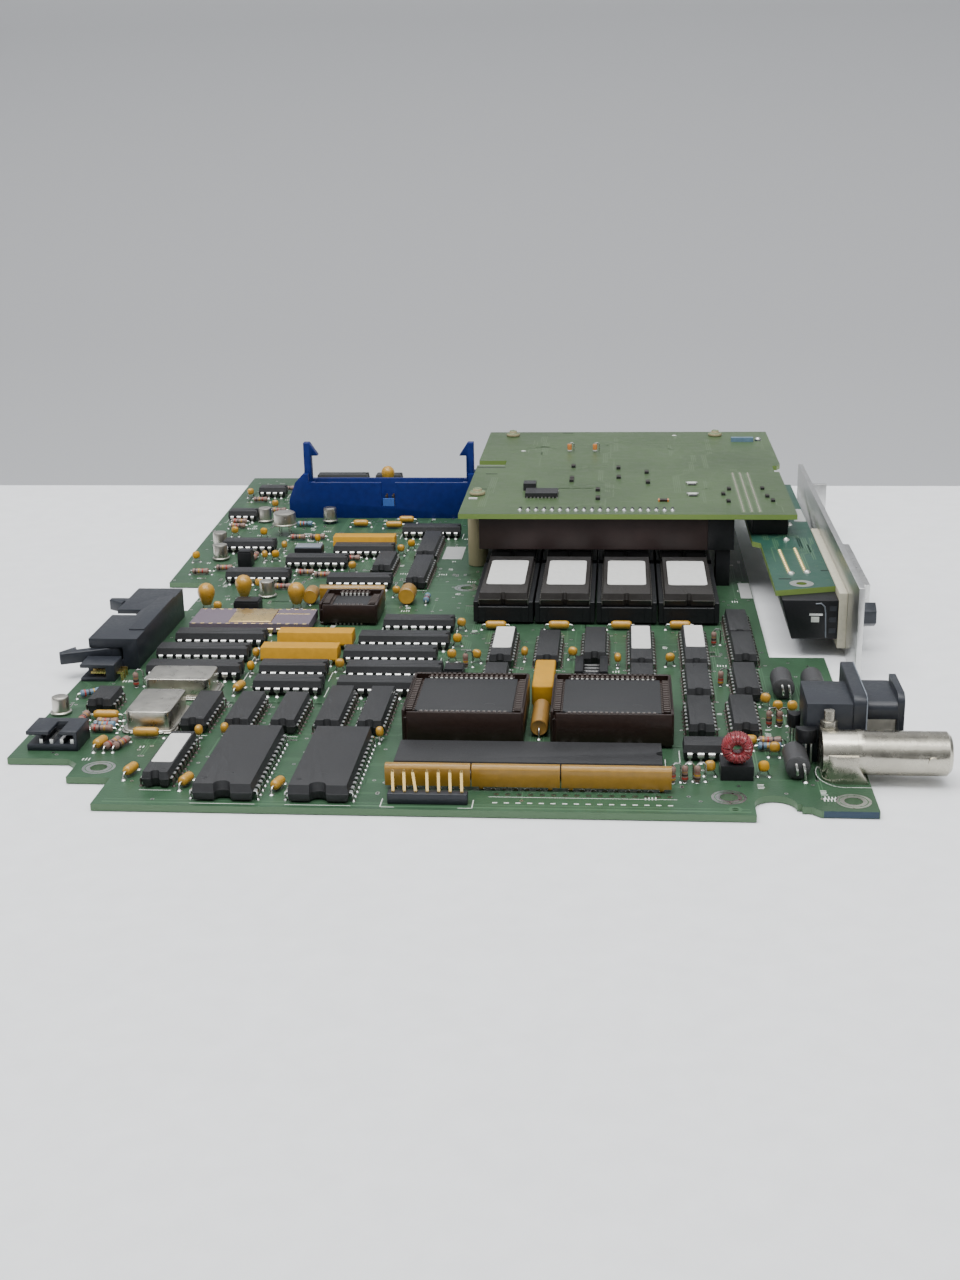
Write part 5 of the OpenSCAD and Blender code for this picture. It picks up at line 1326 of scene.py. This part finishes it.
def ferrite_cores():
    """Cores lying along Y, with two wires out of their near end; one bends back in, one goes down."""
    b = Build("ferrite")
    for s in SOLIDS["ferrite_beads"]:
        x, y, z, r, h = s.x, s.y0, s.z + 0.25, s.lx / 2, s.ly / 2
        core = mirrored([(r, h - 0.4), (r - 0.5, h), (0, h)])
        b.lathe(core, 36, "ferrite", at(x, s.y, z) @ spin(90, "X"))
        out = [(0, 0.3, 0.9), (0, -0.35, 1.0), (0.1, -0.62, 0.6), (0.3, -0.66, -0.6)]
        back = [(0.35, -0.6, -1.3), (0.3, -0.25, -1.6), (0.2, 0.3, -1.6)]
        down = [(0.5, -0.7, 0.4 - z), (0.5, -0.7, -z)]
        for shift, route in ((-0.5, out + back), (1.2, out + down)):
            b.tube([(x + shift + dx, y + dy, z + dz) for dx, dy, dz in route], 0.32, 8, "copper")
        solder_dot(b, x + 1.7, y - 0.7, 0.8, 0.4)
        b.lathe([(0.62, 0), (0.62, 0.05)], 12, "ferrite", at(x, y - 0.02, z) @ spin(90, "X"))
    b.make("ferrite_cores", replaces="ferrite_beads", angle=45)


def wound_ring():
    """Upright ring on a plinth, with a core in the wire's colour under slightly uneven turns."""
    plinth, ring = sorted(SOLIDS["toroid_choke"], key=lambda s: s.z1)
    b = Build("black")
    b.box(plinth.lo, plinth.hi)
    outer_r, inner_r, w = ring.lx / 2, 1.0, ring.ly / 2
    mid, half = (outer_r + inner_r) / 2, (outer_r - inner_r) / 2
    near, far, deep = mid - half + 0.45, mid + half - 0.45, w - 0.45
    core = [(near, -deep), (far, -deep), (far, deep), (near, deep), (near, -deep)]
    b.lathe(core, 36, "wire", at(ring.x, ring.y, ring.z) @ spin(90, "X"))
    r = random.Random(6)
    turns = 38
    for i in range(turns):
        a = 2 * math.pi * i / turns + r.uniform(-0.03, 0.03)
        tilt = r.uniform(-0.1, 0.1)
        loop = []
        for c, s in circle(1, 12):
            away = mid + (half - 0.22) * math.copysign(abs(c) ** 0.6, c)
            across = (w - 0.22) * math.copysign(abs(s) ** 0.6, s)
            t = a + tilt * s
            loop.append((ring.x + away * math.cos(t), ring.y + across, ring.z + away * math.sin(t)))
        b.tube(loop, 0.24, 6, "wire", closed=True)
    b.make("wound_ring", replaces="toroid_choke", angle=50)


def plastic_transistor(b, s):
    """Body with a rounded front on three legs."""
    w, steps = s.lx / 2, 8
    arc = [math.pi * i / steps for i in range(steps + 1)]
    pts = [(w * math.cos(math.pi + a), -s.ly * math.sin(a) ** 0.7) for a in arc]
    b.prism(pts, 5.8, s.z1, "black", at(s.x, s.y1))
    for i in (-1, 0, 1):
        b.block(s.x + i * w / 2, s.y1 - 0.75, 0.25, 0.2, 0, 5.9, "tin")


def open_socket(b, s):
    """Chip socket without a chip: two walls, a low floor and contacts between them."""
    x0, x1, y0, y1, z1 = s.x0, s.x1, s.y0, s.y1, s.z1
    for left, right in ((x0, x0 + 2.2), (x1 - 2.2, x1)):
        b.box((left, y0, 0), (right, y1, z1))
    b.box((x0 + 2.15, y0, 0), (x1 - 2.15, y1, z1 - 2.3))
    for i in range(5):
        y = y0 + 1.4 + i * PITCH
        b.box((x0 + 2.3, y - 0.4, z1 - 2.35), (x1 - 2.3, y + 0.4, z1 - 2.1), "tin")


TRANSISTORS_FROM_X = 155
OPEN_SOCKET_X = 109.9
PALE_MODULE_Y = 187


def small_modules():
    b = Build("black")
    for s in SOLIDS["small_modules"]:
        if s.x0 > TRANSISTORS_FROM_X:
            plastic_transistor(b, s)
        elif abs(s.x0 - OPEN_SOCKET_X) < 0.3:
            open_socket(b, s)
        else:
            b.box(s.lo, (s.x1, s.y1, s.z1 - 0.5))
            lid = "pale_slate_and_highlight" if abs(s.y - PALE_MODULE_Y) < 2 else "black"
            b.block(s.x, s.y, s.lx / 2 - 0.25, s.ly / 2 - 0.25, s.z1 - 0.55, s.z1, lid)
    b.make("module_blocks", replaces="small_modules", bevel=0.12)


# ---------------------------------------------------------------- connectors

def test_pins():
    """Square pins with a tapered tip; the third one is bent a little."""
    b = Build("gold")
    w, tip_w, tip_h = 0.32, 0.15, 0.5
    for k, s in enumerate(SOLIDS["test_header_pins"]):
        place = at(s.x, s.y, s.z0)
        if k == 2:
            place = place @ spin(-7, "Y")
        square = [(-1, -1), (1, -1), (1, 1), (-1, 1)]
        shaft = s.lz - tip_h
        b.prism([(w * x, w * y) for x, y in square], 0, shaft, "gold", place)
        tip = [(half * x, half * y, z) for half, z in ((w, shaft), (tip_w, s.lz)) for x, y in square]
        b.add(tip, bridge(0, 4, 4) + [(4, 5, 6, 7)], "gold", place)
    b.make("test_pins", replaces="test_header_pins", angle=30)


def headers():
    dress("blue_header_housing", "blue")
    paint("blue_header_pins", "gold")
    key = Build("blue_pale")
    key.box((33.2, 246.5, 4.6), (37.4, 247.3, 7.4))
    key.box((33.6, 247.2, 4.8), (37.0, 247.5, 7.0))
    key.make("blue_header_key", smooth=False)
    for node, mat, bevel in (("blue_latch_left", "blue", 0.25), ("blue_latch_right", "blue", 0.25),
                             ("black_header_housing", "slate", 0.2), ("black_latch_near", "slate", 0.25),
                             ("black_latch_far", "slate", 0.25), ("side_header_body", "slate", 0.15),
                             ("power_header_body", "slate", 0.2), ("test_header_body", "slate", 0.2)):
        dress(node, mat, bevel)
    test_pins()
    paint("black_header_pins", "gold")
    paint("side_header_pins", "gold")
    paint("power_header_pins", "tin")


def mezzanine_plug():
    """Stacking connector in two shades, with its foot."""
    b = Build("umber")
    s = SOLIDS["mezzanine_connector"][0]
    split, foot = 149.2, 12
    b.box((s.x0, s.y0, foot), (split, s.y1, s.z1))
    b.box((split, s.y0, foot), s.hi, "black")
    b.box((152, s.y0 + 1, s.z0), (s.x1 - 1, s.y1 - 1, foot + 0.1), "black")
    b.make("mezzanine_plug", replaces="mezzanine_connector", bevel=0.2)


def panel_trim():
    b = Build("tin")
    # spring clip in the panel connector's near end, with the thin hoop behind it
    s = SOLIDS["gpib_housing"][0]
    x, y = s.x0, s.y0
    b.box((x + 7.7, y - 0.12, 10.5), (x + 11.3, y + 0.2, 11.1))
    b.box((x + 8.2, y - 0.12, 8.6), (x + 10.4, y + 0.2, 10.2), "pad")
    hoop = ((9.3, 13.9), (10.8, 14.0), (11.8, 13.1), (12.1, 11.2), (12.4, 4.2))
    b.tube([(x + dx, y - 0.02, z) for dx, z in hoop], 0.2, 6, "pale_slate_and_highlight")
    for z in (5.4, 8.6, 11.8):
        b.box((x + 13.2, y - 0.06, z), (s.x1 - 0.6, y + 0.2, z + 1.4), "slate")
    # pale rim round the jack's plate
    # pale line along the right edge and rounded top of the jack's plate: a painted highlight
    s = SOLIDS["jack_plate"][0]
    rim = ((s.y0 + 0.02, 0.6), (s.y0 + 0.02, s.z1 - 2.6), (s.y0 + 0.8, s.z1 - 0.8), (s.y0 + 2.6, s.z1 - 0.04),
           (s.y1 - 0.4, s.z1 - 0.04))
    b.tube([(s.x1 - 0.05, y, z) for y, z in rim], 0.16, 6, "pale_slate_and_highlight")
    b.make("panel_trim")


def panel_parts():
    for node, mat, bevel, segments in (
            ("rear_bracket", "steel", 0.12, 2), ("gpib_flange", "cream_plastic", 0.2, 2),
            ("gpib_housing", "black", 0.3, 2), ("gpib_shell", "tin", 0.2, 2),
            ("gpib_contact_block", "blue", 0.2, 2), ("jackscrews", "dark_steel", 0.3, 2),
            ("jack_housing", "slate", 0.3, 2), ("jack_plate", "slate", 0.4, 3),
            ("jack_sleeve", "steel", 0.1, 1), ("bnc_body", "nickel", 0.25, 2),
            ("bnc_insulator", "white", 0.1, 1), ("bnc_contact", "gold", 0.1, 1)):
        dress(node, mat, bevel, segments)
    mezzanine_plug()
    dress("interface_connector", "black")
    dress("mezzanine_posts", "post", 0.3)
    panel_trim()


for node, mat in (("main_board", "main"), ("mezzanine_board", "mezz"), ("interface_board", "iface")):
    paint(node, mat)
for side in ("front", "left", "rear"):
    dip_group("logic_chips_" + side, side)
wide_chips()
labels()
square_sockets()
memory_sockets()
ceramic()
resistor_bars()
yellow_networks()
oscillator_cans()
transistor_cans()
tantalum_capacitors()
bead_capacitors()
axial_caps()
resistors()
ferrite_cores()
wound_ring()
small_modules()
headers()
panel_parts()
main_board_surface()
underside_surface()
silkscreen()
mezzanine_surface()
interface_surface()
